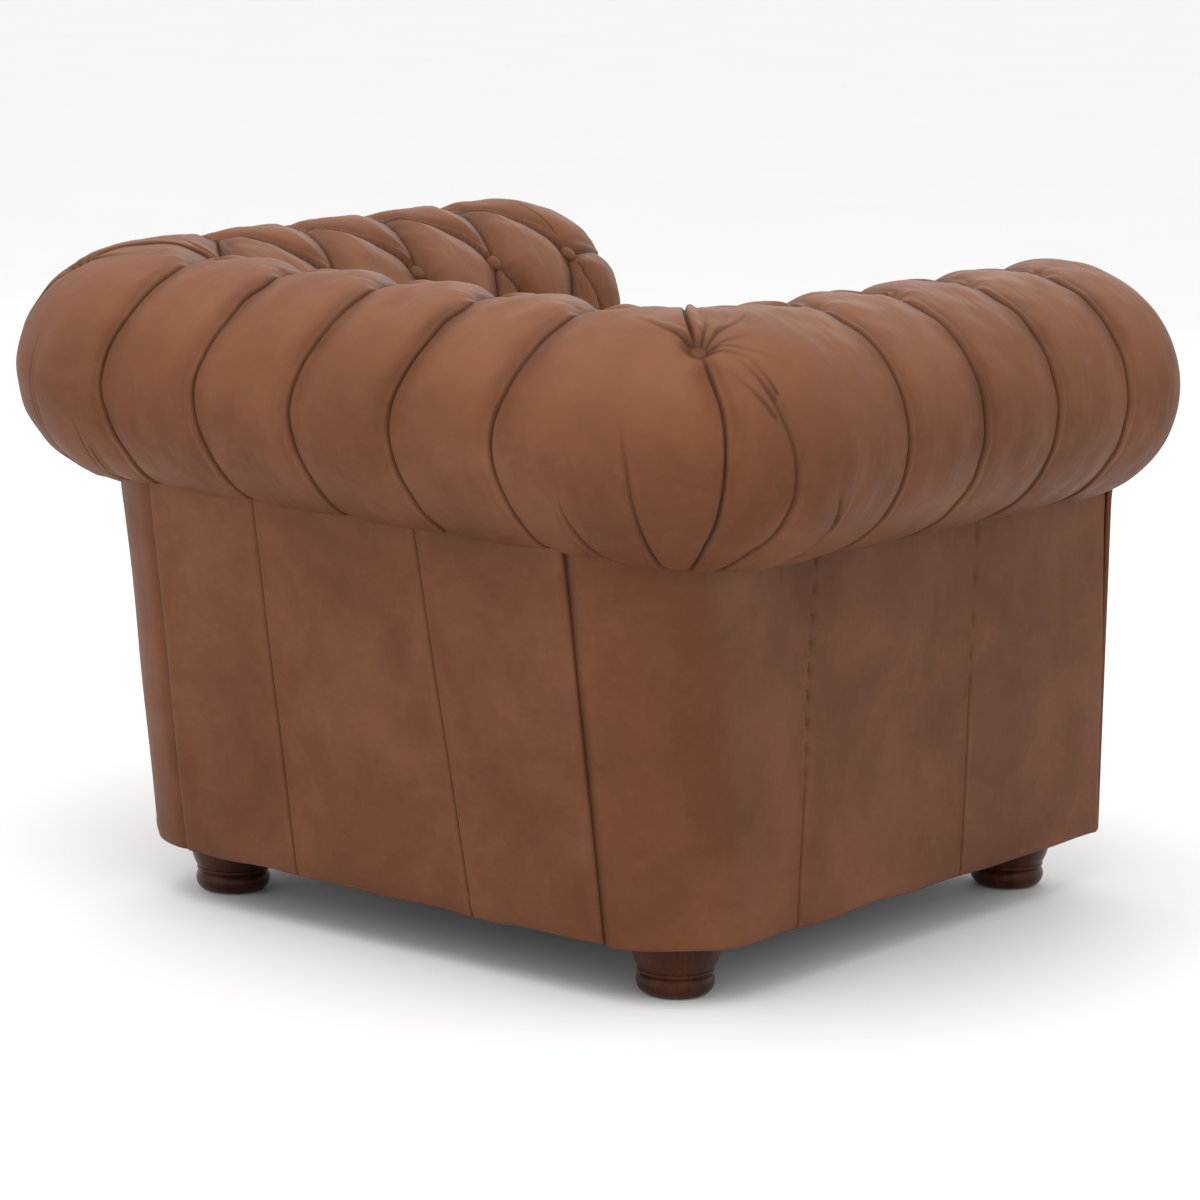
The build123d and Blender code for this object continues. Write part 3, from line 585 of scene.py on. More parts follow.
def rounded(path):
    """The path with its corners cut twice."""
    for _ in range(2):
        cut = np.stack([0.75 * path[:-1] + 0.25 * path[1:], 0.25 * path[:-1] + 0.75 * path[1:]], 1)
        path = np.concatenate([path[:1], cut.reshape(-1, 2)[1:-1], path[-1:]])
    return path


def corner_pleats(folds, place, way, crown):
    for points, ends, lip, side, groove in folds:
        path = np.array([(place(corner_s(a)), theta_t(b)) for a, b in points])
        pleat(rounded(path), ends, lip, side * way, groove, crown)


for place, way in SIDES:
    tufts.append((place(corner_s(CORNER_BUTTON[0])), theta_t(CORNER_BUTTON[1])))
    corner_pleats(CORNER_FOLDS, place, way, True)
    corner_pleats(CORNER_GATHERS[:1], place, way, False)
    # a stray fold, far from the corner: it keeps its place in the list, as the wobble of later folds is seeded by it
    pleat([(place(corner_s(52)) + place(CORNER_S), theta_t(112) + T_SIDE - 30),
           (place(corner_s(50)) + place(CORNER_S), theta_t(135) + T_DECK + 20)], (0.55, 1), 2.4, -way, 3.4)
    corner_pleats(CORNER_GATHERS[1:], place, way, False)
    # the last diamonds, beside the corner
    for c, side in ((arm_crest[0], -way), (back_s(BACK_ROW[-1]), way)):
        pleat([(place(c), T_CREST), (place(CORNER_S), T_INNER + 6)], (1, 0.8), 2.6, side, 3.0)
# Over the arm fronts, a fold goes forward from the foremost inner button, and another goes down
for place, way in SIDES:
    start = (place(arm_inner[-1]), T_INNER)
    pleat([start, (place(-70), T_INNER - 4), (place(-150), T_INNER - 2)], (1, 0.3), 2.8, 1, 2.6)
    pleat([start, (place(arm_inner[-1] - 40), T_LOW), (place(-120), T_DECK - 60)], (1, 0.3), 1.4, way, 2.4)


def tuft_height(s, t, m):
    """Height of the leather against the plain roll, with the painted shade of its folds and button recesses, and its
    paler crown colour, partly wear and partly painted highlight.
    """
    depth = 13.5 - 9.0 * smooth((T_CREST + 5 - t) / 85.0) + 3.0 * smooth((t - T_CREST) / 60.0)
    depth = depth - 4.0 * smooth((t - T_INNER) / 80.0) - 3.0 * smooth((t - T_LOW) / 90.0)
    near = np.full(s.shape, 1e3)
    fold = np.zeros(s.shape)
    painted_shade = np.zeros(s.shape)
    for index, (pts, ends, lip, side, groove, crown) in enumerate(pleats):
        reach = 90.0
        lo = pts.min(0)
        hi = pts.max(0)
        inside = (t > lo[1] - reach) & (t < hi[1] + reach)
        inside &= (s - hi[0]) * m < reach
        inside &= (lo[0] - s) * m < reach
        if not inside.any():
            continue
        ss, tt, mm = s[inside], t[inside], m[inside]
        best = np.full(ss.shape, 1e3)
        signed = np.zeros(ss.shape)
        along = np.zeros(ss.shape)
        n = len(pts) - 1
        for i in range(n):
            ex = (pts[i + 1, 0] - pts[i, 0]) * mm
            ey = pts[i + 1, 1] - pts[i, 1]
            dx = (ss - pts[i, 0]) * mm
            dy = tt - pts[i, 1]
            length2 = ex * ex + ey * ey + 1e-9
            u = np.clip((dx * ex + dy * ey) / length2, 0, 1)
            vx, vy = dx - u * ex, dy - u * ey
            d = np.hypot(vx, vy)
            closer = d < best
            best = np.where(closer, d, best)
            cross = ex * dy - ey * dx
            signed = np.where(closer, np.sign(cross) * d, signed)
            along = np.where(closer, (i + u) / n, along)
        # signed > 0 on the side of larger s for a pleat that runs towards smaller T
        wide = 1.0 + 0.25 * wobble(along * 200.0, 0 * along, 90.0, 40 + index, 3)
        level = ends[0] + (ends[1] - ends[0]) * along
        level = level * smooth(along * 6 + 0.35)
        over = signed * side
        lip_shape = smooth((over + 0.6) / 1.6) * np.exp(-np.clip(over - 5.5 * wide, 0, None) / 3.0)
        valley = np.exp(-((over - 11.0 * wide) / 3.2) ** 2)
        span = np.ptp(pts[:, 0])
        slant = 1.9 if span > 20 or not crown else (1.45 if span > 4 else 1.0)
        cut = np.exp(-((signed + 0.6 * side) / slant) ** 2)
        fold[inside] += level * (lip * lip_shape - 0.35 * lip * valley - groove * cut)
        # painted shade along the groove of each fold
        painted_shade[inside] = np.maximum(painted_shade[inside], level * np.exp(-((signed + 0.7 * side) / (slant + 0.15)) ** 2))
        if crown:
            faded = best + (1 - np.clip(level, 0, 1)) * 34.0
            near[inside] = np.minimum(near[inside], faded)
    width = 52.0
    x = np.clip(near / width, 0, 1)
    puff = 1 - (1 - x) ** 2.3       # 0 in a fold, 1 on the crown between folds
    height = -depth * (1 - puff) + fold
    pull = np.zeros(s.shape)
    for index, (cs, ct) in enumerate(tufts):
        dx, dy = (s - cs) * m, t - ct
        r = np.hypot(dx, dy)
        close = r < 90
        if not close.any():
            continue
        angle = np.arctan2(dy, dx)
        rr = np.random.default_rng(500 + index)
        rays = 0
        for _ in range(4):
            rays = rays + np.abs(np.sin(angle * rr.integers(4, 9) / 1.0 + rr.uniform(0, 6.28) + 0.01 * r)) ** 0.6
        rays = -(1 - rays / 4)
        height += np.where(close, 3.0 * rays * np.exp(-r / 20.0) * smooth((r - 8) / 10.0), 0)
        sink = np.exp(-(r / 15.5) ** 2.6)
        pull = np.maximum(pull, sink)
    height = height * (1 - pull) - 15.5 * pull
    # gathers above the tack line under the roll, and light cockling everywhere
    above = np.clip(t - edge_t(s), 0, None)
    edge = np.exp(-above / 34.0)
    height += 3.0 * edge * (streaks(s * 1.3, t, 15.0, 77) + 0.25)
    # painted shade in the recess round each button
    painted_shade = np.maximum(painted_shade, 0.55 * pull)
    q = np.where(s > S_BACK, mirrored(s), s)
    turn = smooth((q - L1 + 40) / 60.0) * smooth((L1 + LC + 70 - q) / 60.0)
    height += 1.1 * turn * np.exp(-((t + 75) / 70.0) ** 2) * (streaks(s * m, t, 9.0, 83, sway=0.3) + 0.3)
    height += 0.5 * wobble(s * 1.6, t, 60.0, 5) + 0.12 * wobble(s * 1.4, t * 0.3, 13.0, 9)
    height -= 2.5 * np.exp(-above / 7.0)
    # a paler colour on the crowns towards the top of the roll: partly wear, partly painted highlight where the light
    # from above falls
    wear_and_highlight = smooth((puff - 0.35) / 0.6) * smooth((t + 42) / 185.0) * smooth((T_SIDE + 40 - t) / 120.0)
    return height, np.clip(painted_shade, 0, 1), wear_and_highlight


def edge_t(s):
    """Where the leather of the roll ends, under it: higher round the back than along the arms."""
    q = np.where(s > S_BACK, 2 * S_BACK - s, s)
    return arc(-87.0 + 27.0 * smooth((q - L1) / LC))


def columns(s0, s1, coarse=3.0, fine=0.9):
    """Steps along the roll, closer together at the upright pleats."""
    marks = np.array([p[0][:, 0].mean() for p in pleats if np.ptp(p[0][:, 0]) < 8])
    s = np.linspace(s0, s1, 4000)
    gap = np.min(np.abs(s[:, None] - marks[None, :]), 1)
    step = fine + (coarse - fine) * smooth(gap / 13.0)
    count = np.concatenate([[0], np.cumsum(np.diff(s) / ((step[1:] + step[:-1]) / 2))])
    n = int(round(count[-1]))
    return np.interp(np.linspace(0, count[-1], n + 1), count, s)


def roll_piece(name, s, material=None):
    s = np.concatenate([[s[0] - 0.4], s, [s[-1] + 0.4]])
    p, t = roll_points(s)
    m = np.linalg.norm(np.gradient(p, s, axis=1), axis=-1)
    m_use = np.clip(m, 0.15, 4.0)
    ss = np.broadcast_to(s[None, :], t.shape)
    h, painted_shade, wear_and_highlight = tuft_height(ss, t, m_use)
    n = np.cross(np.gradient(p, s, axis=1), np.gradient(p, axis=0))
    n /= np.maximum(np.linalg.norm(n, axis=-1, keepdims=True), 1e-9)
    if n[len(n) // 3, 0, 2] < 0:
        n = -n
    p = p + n * h[..., None]
    lean = smooth((ss - L1 - LC) / 60.0) * smooth((mirrored(L1 + LC) - ss) / 60.0)
    p[..., 0] += 21.0 * lean * np.exp(-((t - 8.0) / 72.0) ** 2)
    p, n, t, painted_shade, wear_and_highlight = (v[:, 1:-1] for v in (p, n, t, painted_shade, wear_and_highlight))
    flip = face_flip(p, n)
    return mesh_object(name, p.reshape(-1, 3), grid_faces(*t.shape, flip=flip), material or hide,
                       {"painted_shade": painted_shade, "wear_and_highlight": wear_and_highlight})


def face_flip(p, n):
    a = p[10, 11] - p[10, 10]
    b = p[11, 10] - p[10, 10]
    return float(np.dot(np.cross(a, b), n[10, 10])) < 0


roll_right = roll_piece("arm_leather_right", columns(0.0, L1))
roll_left = roll_piece("arm_leather_left", columns(mirrored(L1), mirrored(0.0)))
corner_cols = np.linspace(L1, L1 + LC, 176)
corner_right = roll_piece("corner_leather_right", corner_cols)
corner_left = roll_piece("corner_leather_left", mirrored(corner_cols)[::-1])
back_roll = roll_piece("back_leather", columns(L1 + LC, mirrored(L1 + LC), 3.2, 1.0))

# ---------------------------------------------------------------- arm fronts

FRONT_ANGLE = math.acos(0.303)


def facing_left(z):
    side = np.interp(z, [71, 400, 440, 480, 520, 573.5], [-88.5, -88.5, -85.0, -78.0, -66.0, -43.5])
    half = np.sqrt(np.clip(44.0 ** 2 - (z - ZC) ** 2, 0, None))
    return np.where(z > ZC, -half, np.minimum(side, -half))


def facing_right(z):
    side = np.interp(z, [71, 440, 480, 520, 550, 573.5], [-0.5, -0.5, 8.0, 22.0, 33.0, 43.5])
    half = np.sqrt(np.clip(44.0 ** 2 - (z - ZC) ** 2, 0, None))
    return np.where(z > ZC, half, np.maximum(side, half))


def reflect_x(p, mirror):
    p = np.array(p, float)
    if mirror:
        p[..., 0] *= -1
    return p


def front_piece(name, mirror):
    """The roll closes like a dome on to the facing; the inside surface runs forward below it."""
    part, value = section_rows()
    p0, t = roll_points(np.array([0.0]))
    u0 = p0[:, 0, 0] - ARM_X
    z0 = p0[:, 0, 2]
    angle = np.where(part == 0, -88.0 * (1 - value), np.where(part == 1, value, 180.0))
    disc_u = 47.0 * np.cos(np.radians(angle))
    disc_z = ZC + 47.0 * np.sin(np.radians(angle))
    w = smooth((angle + 88.0) / 60.0)
    low = part == 2
    zf = np.where(low, z0, np.where(angle < -28, 447.0 + (ZC + 47.0 * math.sin(math.radians(-28)) - 447.0) * w, disc_z))
    uf = np.where(low, np.minimum(facing_left(np.clip(z0, 72, ZC)) - 3.5, -47.0 + 0 * z0),
                  np.where(angle < -28, np.maximum(facing_right(zf) + 3.0, 3.0), disc_u))
    c = math.cos(FRONT_ANGLE)
    gu = (uf - c * u0) / (1 - c)
    gz = (zf - c * z0) / (1 - c)
    psi = np.linspace(0, FRONT_ANGLE, 76)
    k = np.cos(psi)[None, :]
    x = ARM_X + gu[:, None] + (u0 - gu)[:, None] * k
    z = gz[:, None] + (z0 - gz)[:, None] * k
    y = DOME_Y - DOME_DEPTH * np.sin(psi)[None, :] + 0 * x
    p = np.stack([x, y, z], -1)
    s_in = -150.0 * psi / FRONT_ANGLE
    m = np.linalg.norm(np.gradient(p, axis=1), axis=-1) / (150.0 / 75)
    ss = np.broadcast_to(s_in[None, :], x.shape)
    tt = np.broadcast_to(t, x.shape)
    if mirror:
        ss = mirrored(ss)
    h, painted_shade, wear_and_highlight = tuft_height(ss, tt, np.clip(m, 0.3, 4.0))
    near = smooth(psi / 0.6)[None, :]
    gather = smooth((psi - 0.25) / 0.7)[None, :]
    lower = smooth((30.0 - tt) / 160.0)
    lines = streaks(tt * 1.0, ss, 15.0, 31 + mirror, sway=0.4)
    outside = smooth((T_INNER - 60 - tt) / 60)
    h = h * (1 - 0.75 * near * outside) - 3.0 * near * (1 - lower) * outside
    h = h + gather * (0.7 + 4.2 * lower) * (lines + 0.3)
    h = h * smooth((1.0 - psi / FRONT_ANGLE) * 14)[None, :]
    n = normals_of(p)
    if n[100, 5, 2] < 0:
        n = -n
    p = p + n * h[..., None]
    p = reflect_x(p, mirror)
    n = reflect_x(n, mirror)
    # painted fold shade, and the paler crown colour (partly wear, partly painted highlight), both eased off towards the
    # front of the dome
    return mesh_object(name, p.reshape(-1, 3), grid_faces(*x.shape, flip=face_flip(p, n)), hide,
                       {"painted_shade": np.clip(painted_shade * (1 - 0.3 * near), 0, 1), "wear_and_highlight": wear_and_highlight * (1 - 0.5 * near)})


def tube_points(path, radius, sides=12, closed=False):
    path = np.asarray(path, float)
    ahead = np.roll(path, -1, 0) - np.roll(path, 1, 0)
    if not closed:
        ahead[0] = path[1] - path[0]
        ahead[-1] = path[-1] - path[-2]
    ahead /= np.linalg.norm(ahead, axis=1, keepdims=True)
    side = np.cross(ahead[0], [0.0, 1.0, 0.0] if abs(ahead[0][1]) < 0.9 else [1.0, 0, 0])
    rings = []
    radius = np.broadcast_to(radius, (len(path),))
    for p, d, r in zip(path, ahead, radius):
        side = side - d * np.dot(side, d)
        side /= np.linalg.norm(side)
        other = np.cross(d, side)
        angle = np.linspace(0, 2 * math.pi, sides, endpoint=False)[:, None]
        rings.append(p + r * (np.cos(angle) * side + np.sin(angle) * other))
    verts = np.concatenate(rings)
    faces = grid_faces(len(path), sides, wrap=True)
    if closed:
        j = np.arange(sides)
        last = (len(path) - 1) * sides
        join = np.stack([last + j, last + (j + 1) % sides, (j + 1) % sides, j], -1)
        faces = np.concatenate([faces, join])
    return verts, faces


def resample(path, step, closed=False):
    path = np.asarray(path, float)
    if closed:
        path = np.concatenate([path, path[:1]])
    d = np.concatenate([[0], np.cumsum(np.linalg.norm(np.diff(path, axis=0), axis=1))])
    n = max(2, int(d[-1] / step))
    t = np.linspace(0, d[-1], n + 1)
    out = np.stack([np.interp(t, d, path[:, i]) for i in range(3)], -1)
    return out[:-1] if closed else out


def soften(path, rounds=6, closed=False):
    path = np.array(path, float)
    for _ in range(rounds):
        mid = (np.roll(path, 1, 0) + 2 * path + np.roll(path, -1, 0)) / 4
        if not closed:
            mid[0], mid[-1] = path[0], path[-1]
        path = mid
    return path


def join_parts(parts):
    verts, faces, start = [], [], 0
    for v, f in parts:
        verts.append(v)
        faces.append(np.asarray(f) + start)
        start += len(v)
    return np.concatenate(verts), np.concatenate(faces)


face_lo = box("arm_front_facing_right")[0]
pipe_lo = box("facing_piping")[0]
FACE_Y = face_lo[1]
PIPE_Y = pipe_lo[1] + 3.6
FACING_FOOT = 66.5
FACING_R = 44           # of the round head of the facing
PIPING_R = 46.6         # of the piping's middle line round that head
PIPING_OFF = 2.6        # its distance from the facing's straight edges


def facing_piece(name, mirror):
    """The padded leather on the front of an arm."""
    head = np.linspace(0.6, math.pi - 0.02, 40)
    z = np.concatenate([np.linspace(FACING_FOOT, 540, 152), ZC - FACING_R * np.cos(head)])
    z = np.unique(np.round(z, 3))
    v = (1 - np.cos(np.linspace(0, math.pi, 34))) / 2
    ul, ur = facing_left(z), facing_right(z)
    x = ARM_X + ul[:, None] + (ur - ul)[:, None] * v[None, :]
    zz = z[:, None] + 0 * x
    edge = np.minimum(x - ARM_X - ul[:, None], ur[:, None] - (x - ARM_X))
    edge = np.minimum(edge, np.minimum(zz - FACING_FOOT, ZC + FACING_R - zz))
    pad = 2.2 * (1 - (1 - np.clip(edge / 13.0, 0, 1)) ** 2)
    y = FACE_Y + 1.6 - pad + 0.35 * wobble(x, zz, 60.0, 12) * smooth(edge / 12.0)
    p = reflect_x(np.stack([x, y, zz], -1), mirror)
    # painted shade along the edges of the facing beside the piping, and a little of the paler crown colour, partly wear
    # and partly painted highlight
    return mesh_object(name, p.reshape(-1, 3), grid_faces(*x.shape, flip=mirror), hide_panel,
                       {"painted_shade": np.exp(-edge / 2.2) * 0.8, "wear_and_highlight": 0.15 + 0 * x})


def piping_path():
    """Up one edge of the facing, round its head and down the other."""
    zl = np.linspace(66, ZC, 130)
    left = np.stack([ARM_X + facing_left(np.maximum(zl, 71)) - PIPING_OFF, zl], -1)
    a = np.linspace(math.pi, 0, 60)[1:-1]
    top = np.stack([ARM_X + PIPING_R * np.cos(a), ZC + PIPING_R * np.sin(a)], -1)
    right = np.stack([ARM_X + facing_right(np.maximum(zl, 71)) + PIPING_OFF, zl], -1)[::-1]
    flat = np.concatenate([left, top, right])
    path = np.stack([flat[:, 0], np.full(len(flat), PIPE_Y), flat[:, 1]], -1)
    return soften(resample(path, 4.0), 10)


piping_parts = []
for mirror in (False, True):
    path = piping_path()
    # both ends turn in behind the front edge
    path = np.concatenate([[path[0] + [0.6, 7.0, -1.6]], [path[0] + [0.2, 2.0, -1.8]], path,
                           [path[-1] + [-0.2, 2.0, -1.8]], [path[-1] + [-0.6, 7.0, -1.6]]])
    verts, faces = tube_points(path, 3.5)
    piping_parts.append((reflect_x(verts, mirror), faces if not mirror else faces[:, ::-1]))
front_right = front_piece("arm_front_leather_right", False)
front_left = front_piece("arm_front_leather_left", True)
face_right = facing_piece("facing_leather_right", False)
face_left = facing_piece("facing_leather_left", True)
piping = mesh_object("arm_front_piping", *join_parts(piping_parts), piping_hide)

# ---------------------------------------------------------------- outside panels

wall_lo, wall_hi = box("outside_back_panel")
arm_hi = box("outside_arm_panel_right")[1]
PANEL_T = 3.0
WALL_TOP = wall_hi[2]
WALL_Y0 = wall_lo[1] + PANEL_T
WALL_Y1 = wall_hi[1]
WALL_X0 = arm_hi[0]
WALL_X1 = WALL_X0 - 7.5
WALL_R = 110.0
PANEL_X0 = wall_hi[0]


def wall_y(z):
    return WALL_Y0 + (WALL_Y1 - WALL_Y0) * (z - HEM_Z) / (WALL_TOP - HEM_Z)


def wall_x(z):
    return WALL_X0 + (WALL_X1 - WALL_X0) * (z - HEM_Z) / (arm_hi[2] - HEM_Z)


def seam(d, depth=1.7, width=1.3):
    """A sewn seam: a thin valley between two low, soft ridges."""
    return -depth * np.exp(-(d / width) ** 2) + 0.5 * np.exp(-((np.abs(d) - 4.0) / 2.4) ** 2)


def clustered(lo, hi, marks, coarse, fine, reach=10.0):
    s = np.linspace(lo, hi, 3000)
    gap = np.min(np.abs(s[:, None] - np.array(marks)[None, :]), 1)
    step = fine + (coarse - fine) * smooth(gap / reach)
    count = np.concatenate([[0], np.cumsum(np.diff(s) / ((step[1:] + step[:-1]) / 2))])
    return np.interp(np.linspace(0, count[-1], int(round(count[-1])) + 1), count, s)


def back_panel():
    half = PANEL_X0
    xs = clustered(-half, half, [-half, half, 126, 128.5, 131, *range(-114, -86, 3)], 5.0, 0.55)
    v = np.linspace(0, 1, 110)
    top = WALL_TOP + 11.0
    z = HEM_Z + (top - HEM_Z) * v[:, None] + 0 * xs[None, :]
    x = xs[None, :] * (1 - 0.0244 * v[:, None])
    hem = 1.3 * wobble(x, 0 * x, 130.0, 3) * (1 - v[:, None]) ** 6
    z = z + hem
    edge = half * (1 - 0.0244 * v[:, None]) - np.abs(x)
    h = 3.4 * np.sqrt(np.clip(1 - (1 - np.clip(edge / 3.4, 0, 1)) ** 2, 0, 1)) - 3.6 * (edge < 0.4)
    h = h + 0.8 * np.exp(-((edge - 7) / 4.0) ** 2)
    s1 = x - (131 - 5 * (1 - v[:, None]))
    s2 = x - (-87 - 27 * (1 - v[:, None]))
    for d in (s1, s2):
        h = h + seam(d) + 0.45 * np.exp(-(d / 9.0) ** 2) * streaks(z, d, 16.0, 21)
    # slack near the left edge and under the roll
    left = smooth((x - 60) / 90.0)
    tug = 1.7 * wobble(x * 0.9 + z * 0.75, (x - z) * 0.25, 120.0, 8) * left
    h = h + tug * smooth((edge - 4) / 30.0)
    h = h + 0.9 * wobble(x, z, 210.0, 15)
    pucker = np.exp(-((WALL_TOP - z) / 36.0) ** 2)
    h = h + 2.2 * pucker * (streaks(x + 0.35 * z, z, 36.0, 61, sway=0.5) + 0.3)
    low = np.exp(-((z - HEM_Z) / 5.0) ** 2)
    h = h - 1.2 * low + 0.7 * np.exp(-((z - HEM_Z - 12) / 5.0) ** 2)
    y = wall_y(z) - 1.2 + h
    # painted shade in the two seams and along the panel's edges
    painted_shade = 0.6 * np.exp(-(s1 / 0.9) ** 2) + 0.6 * np.exp(-(s2 / 0.9) ** 2) + 0.9 * np.exp(-edge / 0.9)
    p = np.stack([x, y, z], -1)
    # a turned hem under the bottom edge
    turn = p[0].copy()
    turn[:, 1] -= 7.0
    turn[:, 2] -= 0.3
    p = np.concatenate([turn[None], p])
    # painted shade on the turned hem
    painted_shade = np.concatenate([painted_shade[:1] * 0 + 0.5, painted_shade])
    faces = grid_faces(p.shape[0], p.shape[1], flip=True)
    return mesh_object("back_panel_leather", p.reshape(-1, 3), faces, hide_panel,
                       {"painted_shade": np.clip(painted_shade, 0, 1), "wear_and_highlight": 0.05 + 0 * painted_shade})


def seam_a(z):
    return 99.0 + (439.0 - z) * 0.066


def seam_b(z):
    return -188.0 + (443.0 - z) * 0.0605


def side_plan(a, z):
    """A place on the side wall by its distance a round from the front edge, with the outward direction."""
    straight = wall_y(HEM_Z) - WALL_R - FRONT_Y - 3.0
    wx, wy = wall_x(z), wall_y(z)
    y_line = FRONT_Y + 3.0 + a * (wy - WALL_R - FRONT_Y - 3.0) / straight
    phi = np.clip((a - straight) / WALL_R, 0, math.radians(86.5))
    on_arc = a > straight
    x = np.where(on_arc, wx - WALL_R + WALL_R * np.cos(phi), wx)
    y = np.where(on_arc, wy - WALL_R + WALL_R * np.sin(phi), y_line)
    return x, y, np.where(on_arc, np.cos(phi), 1.0), np.where(on_arc, np.sin(phi), 0.0)


def side_panel(name, mirror):
    straight = wall_y(HEM_Z) - WALL_R - FRONT_Y - 3.0
    total = straight + WALL_R * math.radians(86.5)
    marks = [line(z) - FRONT_Y - 3.0 for line in (seam_a, seam_b) for z in range(60, 450, 40)]
    a_s = clustered(0, total, [0, *marks, total], 5.0, 0.55, 12.0)
    v = np.linspace(0, 1, 110)[:, None]
    aa = a_s[None, :] + 0 * v
    z = HEM_Z + 385.0 * v + 0 * aa
    x, y, nx, ny = side_plan(aa, z)
    # reach up to the underside of the roll
    out_x = np.clip(x - CORNER_X, 0, None)
    out_y = np.clip(y - CORNER_Y, 0, None)
    u = np.where(y > CORNER_Y, np.hypot(out_x, out_y) - CORNER_R, x - ARM_X)
    u = np.where((y > CORNER_Y) & (x < CORNER_X), y - BACK_Y, u)
    rise = ZC - H * np.sqrt(np.clip(1 - (u / W) ** 2, 0.02, 1)) + 10.0
    z = HEM_Z + (rise[-1:] - HEM_Z) * v
    x, y, nx, ny = side_plan(aa, z)
    z = z + 1.1 * wobble(aa, 0 * aa, 120.0, 4 + mirror) * (1 - v) ** 6
    edge = aa
    h = 1.8 * np.sqrt(np.clip(1 - (1 - np.clip(edge / 6.0, 0, 1)) ** 2, 0, 1))
    da, db = y - seam_a(z), y - seam_b(z)
    for d, depth in ((da, 2.0), (db, 1.5)):
        h = h + seam(d, depth) + 0.5 * np.exp(-(d / 9.0) ** 2) * streaks(z, d, 15.0, 22)
    h = h + 0.8 * wobble(aa, z, 210.0, 17 + mirror)
    pucker = np.exp(-((rise[-1:] - 10 - z) / 30.0) ** 2)
    h = h + 2.0 * pucker * (streaks(aa + 0.3 * z, z, 30.0, 62 + mirror, sway=0.5) + 0.3)
    low = np.exp(-((z - HEM_Z) / 5.0) ** 2)
    h = h - 1.2 * low + 0.7 * np.exp(-((z - HEM_Z - 12) / 5.0) ** 2)
    tail = smooth((total - aa) / 16.0)
    h = h * (0.4 + 0.6 * tail) - 2.5 * (1 - tail)
    p = np.stack([x + nx * h, y + ny * h, z], -1)
    # painted shade in the two seams and where the panel tucks in at its rear end
    painted_shade = 0.6 * np.exp(-(da / 1.0) ** 2) + 0.5 * np.exp(-(db / 0.9) ** 2) + 0.5 * np.exp(-(total - aa) / 5.0)
    # turned hem and turned front edge
    turn = p[0].copy()
    turn[:, 0] -= 7.0 * nx[0]
    turn[:, 1] -= 7.0 * ny[0]
    p = np.concatenate([turn[None], p])
    # painted shade on the turned hem
    painted_shade = np.concatenate([painted_shade[:1] * 0 + 0.5, painted_shade])
    fold = []
    for dx, dy in ((-6.0, -1.0), (-2.6, -2.6), (-0.7, -2.0)):
        col = p[:, :1].copy()
        col[..., 0] += dx
        col[..., 1] += dy
        fold.append(col)
    p = np.concatenate(fold + [p], 1)
    # painted shade on the turned front edge
    painted_shade = np.concatenate([painted_shade[:, :1] * 0 + 0.25] * 3 + [painted_shade], 1)
    p = reflect_x(p, mirror)
    return mesh_object(name, p.reshape(-1, 3), grid_faces(p.shape[0], p.shape[1], flip=mirror), hide_panel,
                       {"painted_shade": np.clip(painted_shade, 0, 1), "wear_and_highlight": 0.05 + 0 * painted_shade})


def stitches(name):
    """Short slanted stitches beside the seam at the rear of each side."""
    parts = []
    for mirror in (False, True):
        for z in np.arange(HEM_Z + 6, 436, 7.0):
            y = seam_a(z) + 2.3
            x = wall_x(z) + 0.75
            path = np.array([[x - 0.6, y - 0.5, z - 1.9], [x + 0.25, y - 0.25, z - 1.0], [x + 0.35, y, z],
                             [x + 0.25, y + 0.25, z + 1.0], [x - 0.6, y + 0.5, z + 1.9]])
            verts, faces = tube_points(path, [0.25, 0.5, 0.55, 0.5, 0.25], 6)
            parts.append((reflect_x(verts, mirror), faces if not mirror else faces[:, ::-1]))
    return mesh_object(name, *join_parts(parts), thread)


thread = grained("thread", [(0.070, 0.028, 0.014), (0.105, 0.044, 0.023)], 200.0, (0.6, 0.8))
panel_back = back_panel()
panel_right = side_panel("side_panel_leather_right", False)
panel_left = side_panel("side_panel_leather_left", True)
thread_piece = stitches("side_panel_stitching")

# ---------------------------------------------------------------- front apron and deck

apron_hi = box("front_apron")[1]
deck_hi = box("deck_cloth")[1]


def apron_piece():
    half = 289.0
    xs = np.linspace(-half, half, 150)
    top, radius = apron_hi[2], 10.0
    path = [(FRONT_Y + 5.0, HEM_Z - 0.2), (FRONT_Y + 1.0, HEM_Z)]
    path += [(FRONT_Y, z) for z in np.linspace(HEM_Z + 4, top - radius, 60)]
    for a in np.linspace(0, math.pi / 2, 9)[1:]:
        path.append((FRONT_Y + radius - radius * math.cos(a), top - radius + radius * math.sin(a)))
    path += [(y, top) for y in np.linspace(FRONT_Y + radius + 3, apron_hi[1], 10)]
    path = np.array(path)
    y = path[:, 0][:, None] + 0 * xs
    z = path[:, 1][:, None] + 0 * xs
    x = xs[None, :] + 0 * z
    up = (z - HEM_Z) / (top - HEM_Z)
    swell = 2.4 * smooth(up * 4) * smooth((1.02 - up) * 8) * smooth((half - np.abs(x)) / 40)
    swell = swell + 0.7 * wobble(x, z, 160.0, 19) + 1.1 * np.exp(-((top - z) / 20.0) ** 2) * streaks(x, z, 34.0, 23)
    y = y - swell * (z < top - 0.1)
    p = np.stack([x, y, z], -1)
    # painted shade along the bottom edge, and a paler rolled top, partly wear and partly painted highlight
    return mesh_object("front_apron_leather", p.reshape(-1, 3), grid_faces(*x.shape), hide_panel,
                       {"painted_shade": 0.0 * x + 0.4 * (z < HEM_Z + 2),
                         "wear_and_highlight": 0.05 + 0.3 * np.exp(-((top - z) / 12.0) ** 2)})


